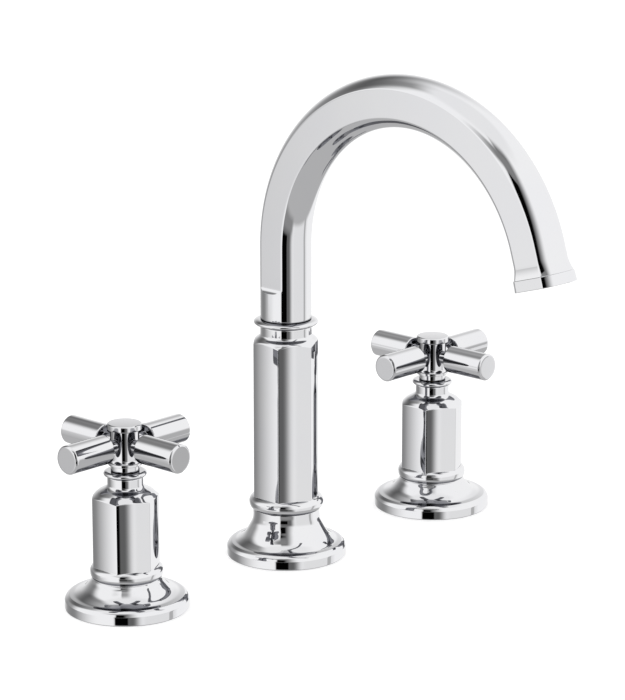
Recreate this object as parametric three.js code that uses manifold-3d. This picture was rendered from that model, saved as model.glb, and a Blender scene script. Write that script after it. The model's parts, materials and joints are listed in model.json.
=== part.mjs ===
// Widespread bathroom faucet: two valves with cross handles and a swivelling gooseneck spout.
// Units are millimetres and +Z is up. The deck top is the plane z = 0. The spout stands on
// the origin and points to -Y, the hot handle stands on -X and the cold handle on +X.

import * as THREE from 'three';
import { mergeVertices } from 'three/addons/utils/BufferGeometryUtils.js';
import Module from 'manifold-3d';

const wasm = await Module();
wasm.setup();

// Fits and facets
const clearance = 0.3;
const overrun = 1;
const weldDistance = 0.0001;
const flangeSides = 24;
const bodySides = 20;
const bossSides = 16;
const armSides = 16;
const smallSides = 12;
const beadSteps = 4;
const faceSteps = 3;
const tubeSides = 20;
const tubeSteps = 38;
const waterwaySides = 10;
const waterwaySteps = 26;
const flareArcSteps = 7;
const hexSides = 6;
const wireSides = 8;
const insertHoleSides = 8;

// Deck and the height of the hidden clamping parts under it
const handleSpacing = 203.2;
const deckThickness = 25;
const rubberWasherThickness = 3;
const steelWasherThickness = 1.5;
const nutHeight = 9;
const threadSpare = 6;

// Base flange, the same turned form under each unit
const baseRadius = 27.3;
const rimHeight = 4.2;
const bandHeight = 2.4;
const creaseRadius = 23.5;
const gasketThickness = 1.5;
const gasketRadius = 23.8;
const rimEdge = 0.5;

// Handle unit, from the flange upward
const handleBellHeight = 7.8;
const handleBeadHeight = 5.4;
const handleBeadRadius = 16;
const handleNeckRadius = 15.25;
const sleeveCornerRadius = 15;
const sleeveBow = 1.8;
const sleeveHeight = 30.7;
const sleeveShoulderHeight = 5.5;
const sleeveNeckRadius = 7.9;
const sleeveNeckHeight = 4;
const handleCollarHeight = 2.4;
const handleCollarRadius = 9.5;
const handleCollarRoot = 8.4;

// Cross handle
const hubSkirtHeight = 2.5;
const hubFlangeRadius = 7.45;
const hubFlangeHeight = 1.2;
const hubCoveHeight = 1.5;
const hubBarrelHeight = 13;
const hubRadius = 6.3;
const capRadius = 7.65;
const capHeight = 2.9;
const capEdge = 0.5;
const capPlugDepth = 0.6;
const armDrop = 6.75;
const armRadius = 6.37;
const armLength = 22.5;
const armEdge = 0.7;
const armNeckRadius = 3;
const armNeckLength = 5.2;
const armStudRadius = 2.4;
const armStudLength = 1.7;

// Valve stem and the screw that holds the handle on it
const stemRadius = 4;
const splineRadius = 3.6;
const stemFootRadius = 6;
const stemFootHeight = 2;
const stemTopDrop = 4.7;
const hubWeb = 1.8;
const screwRadius = 1.8;
const screwHeadRadius = 3.5;
const screwHeadHeight = 1.7;
const screwLength = 12;
const screwSocketRadius = 1.3;
const screwSocketDepth = 1;

// Valve body, from the bottom of its shank upward
const shankRadius = 12.5;
const barrelRadius = 10.9;
const threadRadius = 9.6;
const cavityRadius = 8.2;
const seatHeight = 10;
const barrelStepHeight = 20;
const barrelTop = 30;
const bossRadius = 14.5;
const bossHeight = 18;
const inletRadius = 10.2;
const inletLength = 16;
const inletBore = 5.5;
const feedBore = 3;
const outletRadius = 8.5;
const outletReach = 30;
const outletBore = 3.5;
const returnBore = 1.9;
const returnOffset = 7.6;
const returnRise = 7;

// Cartridge with its two ceramic discs
const cartridgeRadius = 7.5;
const cartridgeBore = 6.4;
const cartridgeChamber = 12;
const cartridgeFlangeRadius = 9.4;
const cartridgeFlangeHeight = 2;
const cartridgeNeckRadius = 6.2;
const cartridgeNeckHeight = 10;
const discRadius = 6.1;
const discThickness = 2.8;
const discPortRadius = 1.7;
const discPortOffset = 3.2;
const windowHeight = 3;
const windowWidth = 5;
const bonnetRadius = 11;
const bonnetSkirt = 8;
const bonnetHexHeight = 6;

// Spout unit, from the flange upward
const spoutBellHeight = 11.6;
const spoutNeckHeight = 4;
const spoutNeckRadius = 15.2;
const spoutBeadHeight = 6.2;
const spoutBeadRadius = 17;
const columnCornerRadius = 15.4;
const columnBow = 2.1;
const columnHeight = 71.8;
const columnShoulderHeight = 4;
const columnNeckRadius = 11.7;
const columnNeckHeight = 4.3;
const spoutCollarHeight = 2.8;
const spoutCollarRadius = 14.6;
const spoutShankRadius = 10.3;
const spoutShankBore = 7;
const spoutShankTop = 56;

// Gooseneck
const tubeRadius = 11.65;
const waterwayRadius = 7;
const flatHalf = 9.7;
const roundFootHeight = 14;
const bendRadius = 74;
const bendHeight = 145.6;
const bendDegrees = 163;
const outletRun = 17;
const flareLength = 10.7;
const tailRadius = 9.7;

// Swivel bush, clip and O-rings on the gooseneck's tail
const bushHeight = 3.7;
const bushRadius = 9.7;
const clipThickness = 1.2;
const clipRise = 6;
const clipInner = 8.9;
const clipOuter = 10.6;
const clipGap = 5;
const clipGrooveFloor = 8.5;
const ringWire = 0.5;
const ringRadius = 9.25;
const ringGrooveFloor = 8.45;
const ringRises = [26, 34];

// Aerator, measured up from the outlet face
const aeratorBore = 8.7;
const aeratorRecess = 0.5;
const aeratorLength = 6;
const aeratorInner = 7;
const aeratorLip = 5.8;
const aeratorLipHeight = 0.8;
const insertThickness = 4;
const insertHoleRadius = 0.9;
const insertHoleOrbit = 3.8;
const insertHoles = 6;
const sealThickness = 1.4;
const sealBore = 6.5;

// Outer radii of the washers and corner radii of the nuts under the deck
const valveWasherRadius = 21;
const valveNutRadius = 20.8;
const spoutWasherRadius = 19;
const spoutNutRadius = 17.3;

// Shapes as shares, width first and height second
const bandShares = [[0.94, 0.17], [0.72, 0.7]];
const bellShares = [[0.74, 0.1], [0.5, 0.25], [0.3, 0.47], [0.13, 0.72]];
const shoulderShares = [[1, 0], [0.88, 0.12], [0.63, 0.43], [0.42, 0.59], [0.23, 0.71], [0.05, 0.9], [0, 1]];
const hubCoveShare = 0.35;
const flareShares = [[0, 1.16], [0.45, 1.14], [0.46, 1.105], [0.65, 1.045], [1, 1], [1.1, 0.98]];

// Heights that follow from the stack above
const flangeTop = rimHeight + bandHeight;
const handleBellTop = flangeTop + handleBellHeight;
const handleBeadTop = handleBellTop + handleBeadHeight;
const sleeveHexTop = handleBeadTop + sleeveHeight;
const sleeveNeckStart = sleeveHexTop + sleeveShoulderHeight;
const sleeveTop = sleeveNeckStart + sleeveNeckHeight;
const handleCollarTop = sleeveTop + handleCollarHeight;
const hubBase = handleCollarTop + clearance;
const hubFlangeBase = hubBase + hubSkirtHeight;
const hubFlangeTop = hubFlangeBase + hubFlangeHeight;
const hubBarrelBase = hubFlangeTop + hubCoveHeight;
const hubTop = hubBarrelBase + hubBarrelHeight;
const armHeight = hubTop - armDrop;
const stemTop = hubTop - stemTopDrop;
const hubWebBase = stemTop + clearance;
const hubWebTop = hubWebBase + hubWeb;

const spoutBellTop = flangeTop + spoutBellHeight;
const spoutFlangeTop = spoutBellTop + spoutNeckHeight;
const spoutBeadTop = spoutFlangeTop + spoutBeadHeight;
const columnHexTop = spoutBeadTop + columnHeight;
const columnNeckStart = columnHexTop + columnShoulderHeight;
const columnTop = columnNeckStart + columnNeckHeight;
const spoutCollarTop = columnTop + spoutCollarHeight;
const gooseneckBase = spoutCollarTop + clearance;
const flatStart = gooseneckBase + roundFootHeight;
const bushTop = spoutShankTop + bushHeight;
const tailBase = bushTop + clearance;

const deckUnderside = -deckThickness;
const rubberWasherBase = deckUnderside - rubberWasherThickness;
const steelWasherBase = rubberWasherBase - steelWasherThickness;
const nutBase = steelWasherBase - nutHeight;
const threadBase = nutBase - threadSpare;
const bossBase = threadBase - bossHeight;
const inletBase = bossBase - inletLength;
const spoutShankBase = bossBase;

// Radii that follow from the fits
const sleeveCavity = bonnetRadius + clearance;
const stemBore = stemRadius + clearance;
const columnBore = tailRadius + clearance;
const spoutShankHole = spoutShankRadius + clearance;
const shankHole = shankRadius + clearance;
const aeratorRadius = aeratorBore - clearance;

const chrome = { color: 0xd9dadd, roughness: 0.06, metalness: 1 };
const brass = { color: 0xc4a253, roughness: 0.3, metalness: 1 };
const steel = { color: 0x9a9ca0, roughness: 0.35, metalness: 1 };
const rubber = { color: 0x1d1d1f, roughness: 0.8, metalness: 0 };
const ceramic = { color: 0xeeece6, roughness: 0.3, metalness: 0 };
const plastic = { color: 0xd8d6cf, roughness: 0.5, metalness: 0 };

// Booleans: a geometry becomes a solid, is joined or cut, and comes back as a geometry.
function toSolid(geometry) {
  const bare = geometry.clone();
  bare.deleteAttribute('normal');
  bare.deleteAttribute('uv');
  const merged = mergeVertices(bare, weldDistance);
  const corners = merged.index.array;
  const kept = [];
  for (let i = 0; i < corners.length; i += 3) {
    const [a, b, c] = [corners[i], corners[i + 1], corners[i + 2]];
    if (a !== b && b !== c && c !== a) kept.push(a, b, c);
  }
  const vertProperties = new Float32Array(merged.attributes.position.array);
  const triVerts = new Uint32Array(kept);
  return new wasm.Manifold(new wasm.Mesh({ numProp: 3, vertProperties, triVerts }));
}

function fromSolid(solid) {
  const mesh = solid.getMesh();
  const geometry = new THREE.BufferGeometry();
  geometry.setAttribute('position', new THREE.BufferAttribute(mesh.vertProperties, 3));
  geometry.setIndex(new THREE.BufferAttribute(mesh.triVerts, 1));
  geometry.computeVertexNormals();
  return geometry;
}

function join(first, ...others) {
  return fromSolid(others.reduce((solid, other) => solid.add(toSolid(other)), toSolid(first)));
}

function cut(body, ...tools) {
  return fromSolid(tools.reduce((solid, tool) => solid.subtract(toSolid(tool)), toSolid(body)));
}

function common(first, second) {
  return fromSolid(toSolid(first).intersect(toSolid(second)));
}

// A solid turned about Z. Its outline runs from the bottom outward and up to the top, as
// radius and height, and starts and ends on the axis.
function turned(outline, sides) {
  const points = outline.map(([radius, height]) => new THREE.Vector2(radius, height));
  const geometry = new THREE.LatheGeometry(points, sides);
  geometry.rotateX(Math.PI / 2);
  return geometry;
}

// A turned ring: the outline stays off the axis and closes on its first point.
function turnedRing(outline, sides) {
  return turned([...outline, outline[0]], sides);
}

function bar(radius, base, top, sides) {
  return turned([[0, base], [radius, base], [radius, top], [0, top]], sides);
}

function tube(outer, inner, base, top, sides) {
  return turnedRing([[inner, base], [outer, base], [outer, top], [inner, top]], sides);
}

// A round bar along a direction in the XY plane, from one distance to another, for cross holes.
function crossBar(radius, height, angle, start, end, sides) {
  const geometry = bar(radius, start, end, sides);
  geometry.rotateY(Math.PI / 2);
  geometry.rotateZ(angle);
  geometry.translate(0, 0, height);
  return geometry;
}

// Points of a half ellipse that bulges outward between two heights.
function beadOutline(root, bulge, base, top) {
  const middle = (base + top) / 2;
  const half = (top - base) / 2;
  return Array.from({ length: beadSteps + 1 }, (_, i) => {
    const angle = Math.PI * (i / beadSteps - 0.5);
    return [root + (bulge - root) * Math.cos(angle), middle + half * Math.sin(angle)];
  });
}

// Outline points given as shares of the width beyond an inner radius and of a height.
function sharedOutline(shares, inner, outer, base, height) {
  return shares.map(([across, up]) => [inner + (outer - inner) * across, base + height * up]);
}

// A six-sided outline with its first corner at the front, on -Y. The faces are arcs whose radius
// is the bow times the corner radius.
function hexShape(cornerRadius, bow) {
  const faceRadius = cornerRadius * bow;
  const halfAngle = Math.asin(cornerRadius / 2 / faceRadius);
  const centreDistance = faceRadius * Math.cos(halfAngle) - cornerRadius * Math.cos(Math.PI / 6);
  const points = [];
  for (let face = 0; face < hexSides; face += 1) {
    const middle = -Math.PI / 2 + (face + 0.5) * Math.PI / 3;
    for (let i = 0; i < faceSteps; i += 1) {
      const angle = middle + halfAngle * (2 * i / faceSteps - 1);
      points.push(new THREE.Vector2(
        faceRadius * Math.cos(angle) - centreDistance * Math.cos(middle),
        faceRadius * Math.sin(angle) - centreDistance * Math.sin(middle),
      ));
    }
  }
  return new THREE.Shape(points);
}

function bowedHexPrism(size) {
  const depth = size.top - size.base;
  const shape = hexShape(size.corner, size.bow);
  const geometry = new THREE.ExtrudeGeometry(shape, { depth, bevelEnabled: false });
  geometry.translate(0, 0, size.base);
  return geometry;
}

// A turned sleeve with a bowed hexagonal body, a domed shoulder and a round neck.
function hexSleeve(size, bores) {
  const wide = size.corner + overrun;
  const prism = bowedHexPrism(size);
  const envelope = turned([
    [0, size.base - overrun],
    [wide, size.base - overrun],
    [wide, size.hexTop],
    ...sharedOutline(shoulderShares, size.neck, size.corner, size.hexTop, size.neckStart - size.hexTop),
    [size.neck, size.top + overrun],
    [0, size.top + overrun],
  ], bodySides);
  return cut(common(prism, envelope), ...bores);
}

function baseFlange(bore, bell) {
  return turnedRing([
    [gasketRadius + clearance, 0],
    [baseRadius - rimEdge, 0],
    [baseRadius, rimEdge],
    [baseRadius, rimHeight],
    ...sharedOutline(bandShares, creaseRadius, baseRadius, rimHeight, bandHeight),
    [creaseRadius, flangeTop],
    ...sharedOutline(bellShares, bell.radius, creaseRadius, flangeTop, bell.height),
    ...bell.neck,
    [bore, bell.top],
    [bore, gasketThickness],
    [gasketRadius + clearance, gasketThickness],
  ], flangeSides);
}

function hexNut(cornerRadius, bore, base, top) {
  const outer = bar(cornerRadius, base, top, hexSides);
  return cut(outer, bar(bore, base - overrun, top + overrun, bossSides));
}

// Valve body: threaded shank, side outlet towards the spout, inlet nipple at the bottom and a
// cavity at the top for the cartridge. The feed bore runs up the middle, and the return bore
// runs down beside it to the side outlet.
function valveBody(side) {
  const angle = side > 0 ? 0 : Math.PI;
  const outletHeight = bossBase + bossHeight / 2;
  const shankTop = handleBellTop - clearance;
  const outside = turned([
    [0, inletBase],
    [inletRadius, inletBase],
    [inletRadius, bossBase],
    [bossRadius, bossBase],
    [bossRadius, threadBase],
    [shankRadius, threadBase],
    [shankRadius, shankTop],
    [barrelRadius, shankTop],
    [barrelRadius, barrelStepHeight],
    [threadRadius, barrelStepHeight],
    [threadRadius, barrelTop],
    [0, barrelTop],
  ], bossSides);
  const nipple = crossBar(outletRadius, outletHeight, angle, 0, outletReach, smallSides);
  const inlet = bar(inletBore, inletBase - overrun, bossBase + clearance, smallSides);
  const feed = bar(feedBore, bossBase, seatHeight + overrun, smallSides);
  const cavity = bar(cavityRadius, seatHeight, barrelTop + overrun, bossSides);
  const returnLine = bar(returnBore, outletHeight, seatHeight + returnRise, smallSides);
  returnLine.translate(side * returnOffset, 0, 0);
  const outletStart = returnOffset - returnBore / 2;
  const outlet = crossBar(outletBore, outletHeight, angle, outletStart, outletReach + overrun, smallSides);
  return cut(join(outside, nipple), inlet, feed, cavity, returnLine, outlet);
}

function valveCartridge() {
  const chamberTop = seatHeight + cartridgeChamber;
  const body = turnedRing([
    [cartridgeBore, seatHeight],
    [cartridgeRadius, seatHeight],
    [cartridgeRadius, barrelTop],
    [cartridgeFlangeRadius, barrelTop],
    [cartridgeFlangeRadius, barrelTop + cartridgeFlangeHeight],
    [cartridgeNeckRadius, barrelTop + cartridgeFlangeHeight],
    [cartridgeNeckRadius, barrelTop + cartridgeFlangeHeight + cartridgeNeckHeight],
    [stemBore, barrelTop + cartridgeFlangeHeight + cartridgeNeckHeight],
    [stemBore, chamberTop],
    [cartridgeBore, chamberTop],
  ], smallSides);
  const window = new THREE.BoxGeometry(2 * (cartridgeRadius + overrun), windowWidth, windowHeight);
  window.translate(0, 0, chamberTop - windowHeight);
  return cut(body, window);
}

function bonnetNut() {
  const skirtTop = barrelTop + cartridgeFlangeHeight;
  const skirtBase = skirtTop - bonnetSkirt;
  const skirt = bar(bonnetRadius, skirtBase, skirtTop, bossSides);
  const hex = bar(bonnetRadius, skirtTop, skirtTop + bonnetHexHeight, hexSides);
  const recess = bar(threadRadius + clearance, skirtBase - overrun, skirtTop, bossSides);
  const neck = cartridgeNeckRadius + clearance;
  const hole = bar(neck, skirtBase, skirtTop + bonnetHexHeight + overrun, smallSides);
  return cut(join(skirt, hex), recess, hole);
}

// A ceramic disc with one port beside its middle.
function ceramicDisc(base, portAngle) {
  const port = bar(discPortRadius, base - overrun, base + discThickness + overrun, smallSides / 2);
  port.translate(discPortOffset * Math.cos(portAngle), discPortOffset * Math.sin(portAngle), 0);
  return cut(bar(discRadius, base, base + discThickness, smallSides), port);
}

const turningDiscBase = seatHeight + discThickness + clearance;
const stemBase = turningDiscBase + discThickness + clearance;

function valveStem() {
  const holeRadius = screwRadius + clearance;
  const holeBase = hubWebTop - screwLength - clearance;
  return turned([
    [0, stemBase],
    [stemFootRadius, stemBase],
    [stemFootRadius, stemBase + stemFootHeight],
    [stemRadius, stemBase + stemFootHeight],
    [stemRadius, handleCollarTop - clearance],
    [splineRadius, handleCollarTop - clearance],
    [splineRadius, stemTop],
    [holeRadius, stemTop],
    [holeRadius, holeBase],
    [0, holeBase],
  ], smallSides);
}

function handleHub() {
  const hub = turnedRing([
    [splineRadius + clearance, hubBase],
    [hubRadius, hubBase],
    [hubRadius, hubFlangeBase],
    [hubFlangeRadius, hubFlangeBase],
    [hubFlangeRadius, hubFlangeTop],
    [hubRadius + (hubFlangeRadius - hubRadius) * hubCoveShare, hubFlangeTop + hubCoveHeight * hubCoveShare],
    [hubRadius, hubBarrelBase],
    [hubRadius, hubTop],
    [screwHeadRadius + clearance, hubTop],
    [screwHeadRadius + clearance, hubWebTop],
    [screwRadius + clearance, hubWebTop],
    [screwRadius + clearance, hubWebBase],
    [splineRadius + clearance, hubWebBase],
  ], bossSides);
  const holeEnd = hubRadius - armStudLength;
  const holes = [0, 1, 2, 3].map((quarter) => crossBar(
    armStudRadius + clearance, armHeight, quarter * Math.PI / 2, holeEnd, hubRadius + overrun, smallSides,
  ));
  return cut(hub, ...holes);
}

// A plain round arm that stands along its own Z, with the neck and stud that screw into the hub.
function handleArm() {
  const neckStart = hubRadius + clearance;
  const armStart = neckStart + armNeckLength;
  const armEnd = armStart + armLength;
  return turned([
    [0, neckStart - armStudLength],
    [armStudRadius, neckStart - armStudLength],
    [armStudRadius, neckStart],
    [armNeckRadius, neckStart],
    [armNeckRadius, armStart],
    [armRadius, armStart],
    [armRadius, armEnd - armEdge],
    [armRadius - armEdge, armEnd],
    [0, armEnd],
  ], armSides);
}

function handleCap() {
  const plugRadius = screwHeadRadius;
  return turned([
    [0, hubTop - capPlugDepth],
    [plugRadius, hubTop - capPlugDepth],
    [plugRadius, hubTop],
    [capRadius - capEdge, hubTop],
    [capRadius, hubTop + capEdge],
    [capRadius, hubTop + capHeight - capEdge],
    [capRadius - capEdge, hubTop + capHeight],
    [0, hubTop + capHeight],
  ], bodySides);
}

function handleScrew() {
  const headTop = hubWebTop + screwHeadHeight;
  const screw = turned([
    [0, hubWebTop - screwLength],
    [screwRadius, hubWebTop - screwLength],
    [screwRadius, hubWebTop],
    [screwHeadRadius, hubWebTop],
    [screwHeadRadius, headTop],
    [0, headTop],
  ], smallSides);
  return cut(screw, bar(screwSocketRadius, headTop - screwSocketDepth, headTop + overrun, hexSides));
}

// The centre line of the gooseneck: up, round the bend and down to the outlet. Distances
// start at a height on the straight foot and may run past the outlet.
class GooseneckLine extends THREE.Curve {
  constructor(startHeight, endRun) {
    super();
    this.startHeight = startHeight;
    this.rise = bendHeight - startHeight;
    this.sweep = THREE.MathUtils.degToRad(bendDegrees);
    this.total = this.rise + this.sweep * bendRadius + endRun;
  }

  getPoint(share) {
    const distance = share * this.total;
    const round = distance - this.rise;
    if (round < 0) return new THREE.Vector3(0, 0, this.startHeight + distance);
    const angle = Math.min(round / bendRadius, this.sweep);
    const run = round - angle * bendRadius;
    return new THREE.Vector3(
      0,
      bendRadius * (Math.cos(angle) - 1) - run * Math.sin(angle),
      bendHeight + bendRadius * Math.sin(angle) + run * Math.cos(angle),
    );
  }
}

// A round bar carried along the gooseneck's centre line.
function sweptBar(radius, sides, steps, startHeight, endRun) {
  const points = Array.from({ length: sides }, (_, i) => {
    const angle = 2 * Math.PI * i / sides;
    return new THREE.Vector2(radius * Math.cos(angle), radius * Math.sin(angle));
  });
  const extrudePath = new GooseneckLine(startHeight, endRun);
  return new THREE.ExtrudeGeometry(new THREE.Shape(points), { steps, bevelEnabled: false, extrudePath });
}

// The block that mills one flat along the side of the tube, above the round foot.
function flatCutter(side) {
  const reach = 2 * bendRadius + 4 * tubeRadius;
  const width = tubeRadius;
  const block = new THREE.BoxGeometry(width, reach, reach);
  block.translate(side * (flatHalf + width / 2), -bendRadius, flatStart + reach / 2);
  return block;
}

// The tube's section at the outlet: a circle with a flat on each side, facing along X.
function flattedShape() {
  const halfAngle = Math.asin(flatHalf / tubeRadius);
  const points = [];
  for (const end of [1, -1]) {
    for (let i = 0; i <= flareArcSteps; i += 1) {
      const angle = end * Math.PI / 2 + halfAngle * (2 * i / flareArcSteps - 1);
      points.push(new THREE.Vector2(tubeRadius * Math.cos(angle), tubeRadius * Math.sin(angle)));
    }
  }
  return new THREE.Shape(points);
}

// Moves a geometry from the outlet's own axes, face at z = 0 and tube above, to its place.
function atOutlet(geometry) {
  const line = new GooseneckLine(flatStart, outletRun);
  const end = line.getPoint(1);
  geometry.rotateX(THREE.MathUtils.degToRad(bendDegrees - 180));
  geometry.translate(end.x, end.y, end.z);
  return geometry;
}

// The end of the tube: its section, scaled up by steps to the band at the outlet face. It
// starts a little smaller than the tube, inside it.
function outletFlare() {
  const steps = flareShares.length - 1;
  const geometry = new THREE.ExtrudeGeometry(flattedShape(), { depth: steps, steps, bevelEnabled: false });
  const place = geometry.attributes.position;
  for (let i = 0; i < place.count; i += 1) {
    const [rise, scale] = flareShares[Math.round(place.getZ(i))];
    place.setXYZ(i, place.getX(i) * scale, place.getY(i) * scale, rise * flareLength);
  }
  return atOutlet(geometry);
}

// The tail inside the column, with its clip groove and two O-ring grooves.
function gooseneckTail() {
  const clipBase = tailBase + clipRise;
  const grooveHeight = 2 * (ringWire + clearance);
  const ringGrooves = ringRises.flatMap((rise) => {
    const base = tailBase + rise - grooveHeight / 2;
    return [
      [tailRadius, base],
      [ringGrooveFloor, base],
      [ringGrooveFloor, base + grooveHeight],
      [tailRadius, base + grooveHeight],
    ];
  });
  return turned([
    [0, tailBase],
    [tailRadius, tailBase],
    [tailRadius, clipBase - clearance],
    [clipGrooveFloor, clipBase - clearance],
    [clipGrooveFloor, clipBase + clipThickness + clearance],
    [tailRadius, clipBase + clipThickness + clearance],
    ...ringGrooves,
    [tailRadius, gooseneckBase + overrun],
    [0, gooseneckBase + overrun],
  ], bodySides);
}

function gooseneck() {
  const round = sweptBar(tubeRadius, tubeSides, tubeSteps, gooseneckBase, outletRun - flareLength / 2);
  const neck = cut(join(round, gooseneckTail()), flatCutter(1), flatCutter(-1));
  const waterwayBase = tailBase - overrun;
  const waterwayRun = outletRun + overrun;
  const waterway = sweptBar(waterwayRadius, waterwaySides, waterwaySteps, waterwayBase, waterwayRun);
  const boreDepth = aeratorRecess + aeratorLength + sealThickness + 2 * clearance;
  const aeratorHole = atOutlet(bar(aeratorBore, -overrun, boreDepth, bossSides));
  return cut(join(neck, outletFlare()), waterway, aeratorHole);
}

function spoutColumn() {
  const clipBase = tailBase + clipRise;
  const grooveRadius = clipOuter + clearance;
  return hexSleeve({
    corner: columnCornerRadius,
    bow: columnBow,
    base: spoutBeadTop,
    hexTop: columnHexTop,
    neckStart: columnNeckStart,
    neck: columnNeckRadius,
    top: columnTop,
  }, [
    bar(spoutShankHole, spoutBeadTop - overrun, spoutShankTop + clearance, bodySides),
    bar(columnBore, spoutShankTop, columnTop + overrun, bodySides),
    bar(grooveRadius, clipBase - clearance, clipBase + clipThickness + clearance, bodySides),
  ]);
}

function bodySleeve() {
  const cavityTop = sleeveHexTop;
  return hexSleeve({
    corner: sleeveCornerRadius,
    bow: sleeveBow,
    base: handleBeadTop,
    hexTop: sleeveHexTop,
    neckStart: sleeveNeckStart,
    neck: sleeveNeckRadius,
    top: sleeveTop,
  }, [
    bar(sleeveCavity, handleBeadTop - overrun, cavityTop, bodySides),
    bar(stemBore, cavityTop - overrun, sleeveTop + overrun, smallSides),
  ]);
}

function swivelClip() {
  const base = tailBase + clipRise;
  const ring = tube(clipOuter, clipInner, base, base + clipThickness, bodySides);
  const gap = new THREE.BoxGeometry(clipGap, 2 * clipOuter, 2 * (clipThickness + overrun));
  gap.translate(0, clipOuter, base);
  return cut(ring, gap);
}

function oRing(rise) {
  const points = Array.from({ length: wireSides }, (_, i) => {
    const angle = 2 * Math.PI * i / wireSides;
    return [ringRadius + ringWire * Math.cos(angle), tailBase + rise + ringWire * Math.sin(angle)];
  });
  return turnedRing(points, bodySides);
}

function aeratorHousing() {
  const top = aeratorRecess + aeratorLength;
  return turnedRing([
    [aeratorLip, aeratorRecess],
    [aeratorRadius, aeratorRecess],
    [aeratorRadius, top],
    [aeratorInner, top],
    [aeratorInner, aeratorRecess + aeratorLipHeight],
    [aeratorLip, aeratorRecess + aeratorLipHeight],
  ], bossSides);
}

function aeratorInsert() {
  const base = aeratorRecess + aeratorLipHeight + clearance;
  const top = base + insertThickness;
  const holes = Array.from({ length: insertHoles }, (_, i) => {
    const angle = 2 * Math.PI * i / insertHoles;
    const hole = bar(insertHoleRadius, base - overrun, top + overrun, insertHoleSides);
    hole.translate(insertHoleOrbit * Math.cos(angle), insertHoleOrbit * Math.sin(angle), 0);
    return hole;
  });
  const middle = bar(insertHoleRadius, base - overrun, top + overrun, insertHoleSides);
  return cut(bar(aeratorInner - clearance, base, top, smallSides), middle, ...holes);
}

function aeratorSeal() {
  const base = aeratorRecess + aeratorLength + clearance;
  return tube(aeratorRadius, sealBore, base, base + sealThickness, bossSides);
}

function mesh(name, finish, geometry) {
  const part = new THREE.Mesh(geometry, new THREE.MeshStandardMaterial(finish));
  part.name = name;
  return part;
}

function gasket(hole) {
  return tube(gasketRadius, hole, 0, gasketThickness, flangeSides);
}

// Washers and nut that clamp one unit from under the deck.
function clamp(prefix, hole, washerRadius, nutRadius) {
  const upper = tube(washerRadius, hole, rubberWasherBase, deckUnderside, bossSides);
  const lower = tube(washerRadius, hole, steelWasherBase, rubberWasherBase, bossSides);
  return [
    mesh(`${prefix}_rubber_washer`, rubber, upper),
    mesh(`${prefix}_steel_washer`, steel, lower),
    mesh(`${prefix}_mounting_nut`, brass, hexNut(nutRadius, hole, nutBase, steelWasherBase)),
  ];
}

function crossHandle(prefix) {
  const handle = new THREE.Group();
  handle.add(
    mesh(`${prefix}_valve_stem`, brass, valveStem()),
    mesh(`${prefix}_ceramic_disc_turning`, ceramic, ceramicDisc(turningDiscBase, Math.PI)),
    mesh(`${prefix}_handle_hub`, chrome, handleHub()),
    mesh(`${prefix}_handle_cap`, chrome, handleCap()),
    mesh(`${prefix}_handle_screw`, steel, handleScrew()),
  );
  ['right', 'back', 'left', 'front'].forEach((place, quarter) => {
    const turn = new THREE.Group();
    const arm = mesh(`${prefix}_arm_${place}`, chrome, handleArm());
    arm.rotation.y = Math.PI / 2;
    turn.position.z = armHeight;
    turn.rotation.z = quarter * Math.PI / 2;
    turn.add(arm);
    handle.add(turn);
  });
  return handle;
}

// One valve with its handle. The side is the direction along X in which the spout lies.
function handleUnit(prefix, side) {
  const unit = new THREE.Group();
  unit.position.x = -side * handleSpacing / 2;
  const bell = {
    radius: handleNeckRadius,
    height: handleBellHeight,
    neck: [[handleNeckRadius, handleBellTop]],
    top: handleBellTop,
  };
  const bead = [
    ...beadOutline(handleNeckRadius, handleBeadRadius, handleBellTop, handleBeadTop),
    [sleeveCavity, handleBeadTop],
    [sleeveCavity, handleBellTop],
  ];
  const collar = [
    ...beadOutline(handleCollarRoot, handleCollarRadius, sleeveTop, handleCollarTop),
    [stemBore, handleCollarTop],
    [stemBore, sleeveTop],
  ];
  unit.add(
    mesh(`${prefix}_base_gasket`, rubber, gasket(shankHole)),
    mesh(`${prefix}_base_flange`, chrome, baseFlange(shankHole, bell)),
    mesh(`${prefix}_bead_ring`, chrome, turnedRing(bead, flangeSides)),
    mesh(`${prefix}_body_sleeve`, chrome, bodySleeve()),
    mesh(`${prefix}_collar_ring`, chrome, turnedRing(collar, bodySides)),
    mesh(`${prefix}_valve_body`, brass, valveBody(side)),
    mesh(`${prefix}_valve_cartridge`, brass, valveCartridge()),
    mesh(`${prefix}_bonnet_nut`, brass, bonnetNut()),
    mesh(`${prefix}_ceramic_disc_fixed`, ceramic, ceramicDisc(seatHeight, 0)),
    ...clamp(prefix, shankHole, valveWasherRadius, valveNutRadius),
    crossHandle(prefix),
  );
  return unit;
}

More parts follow.
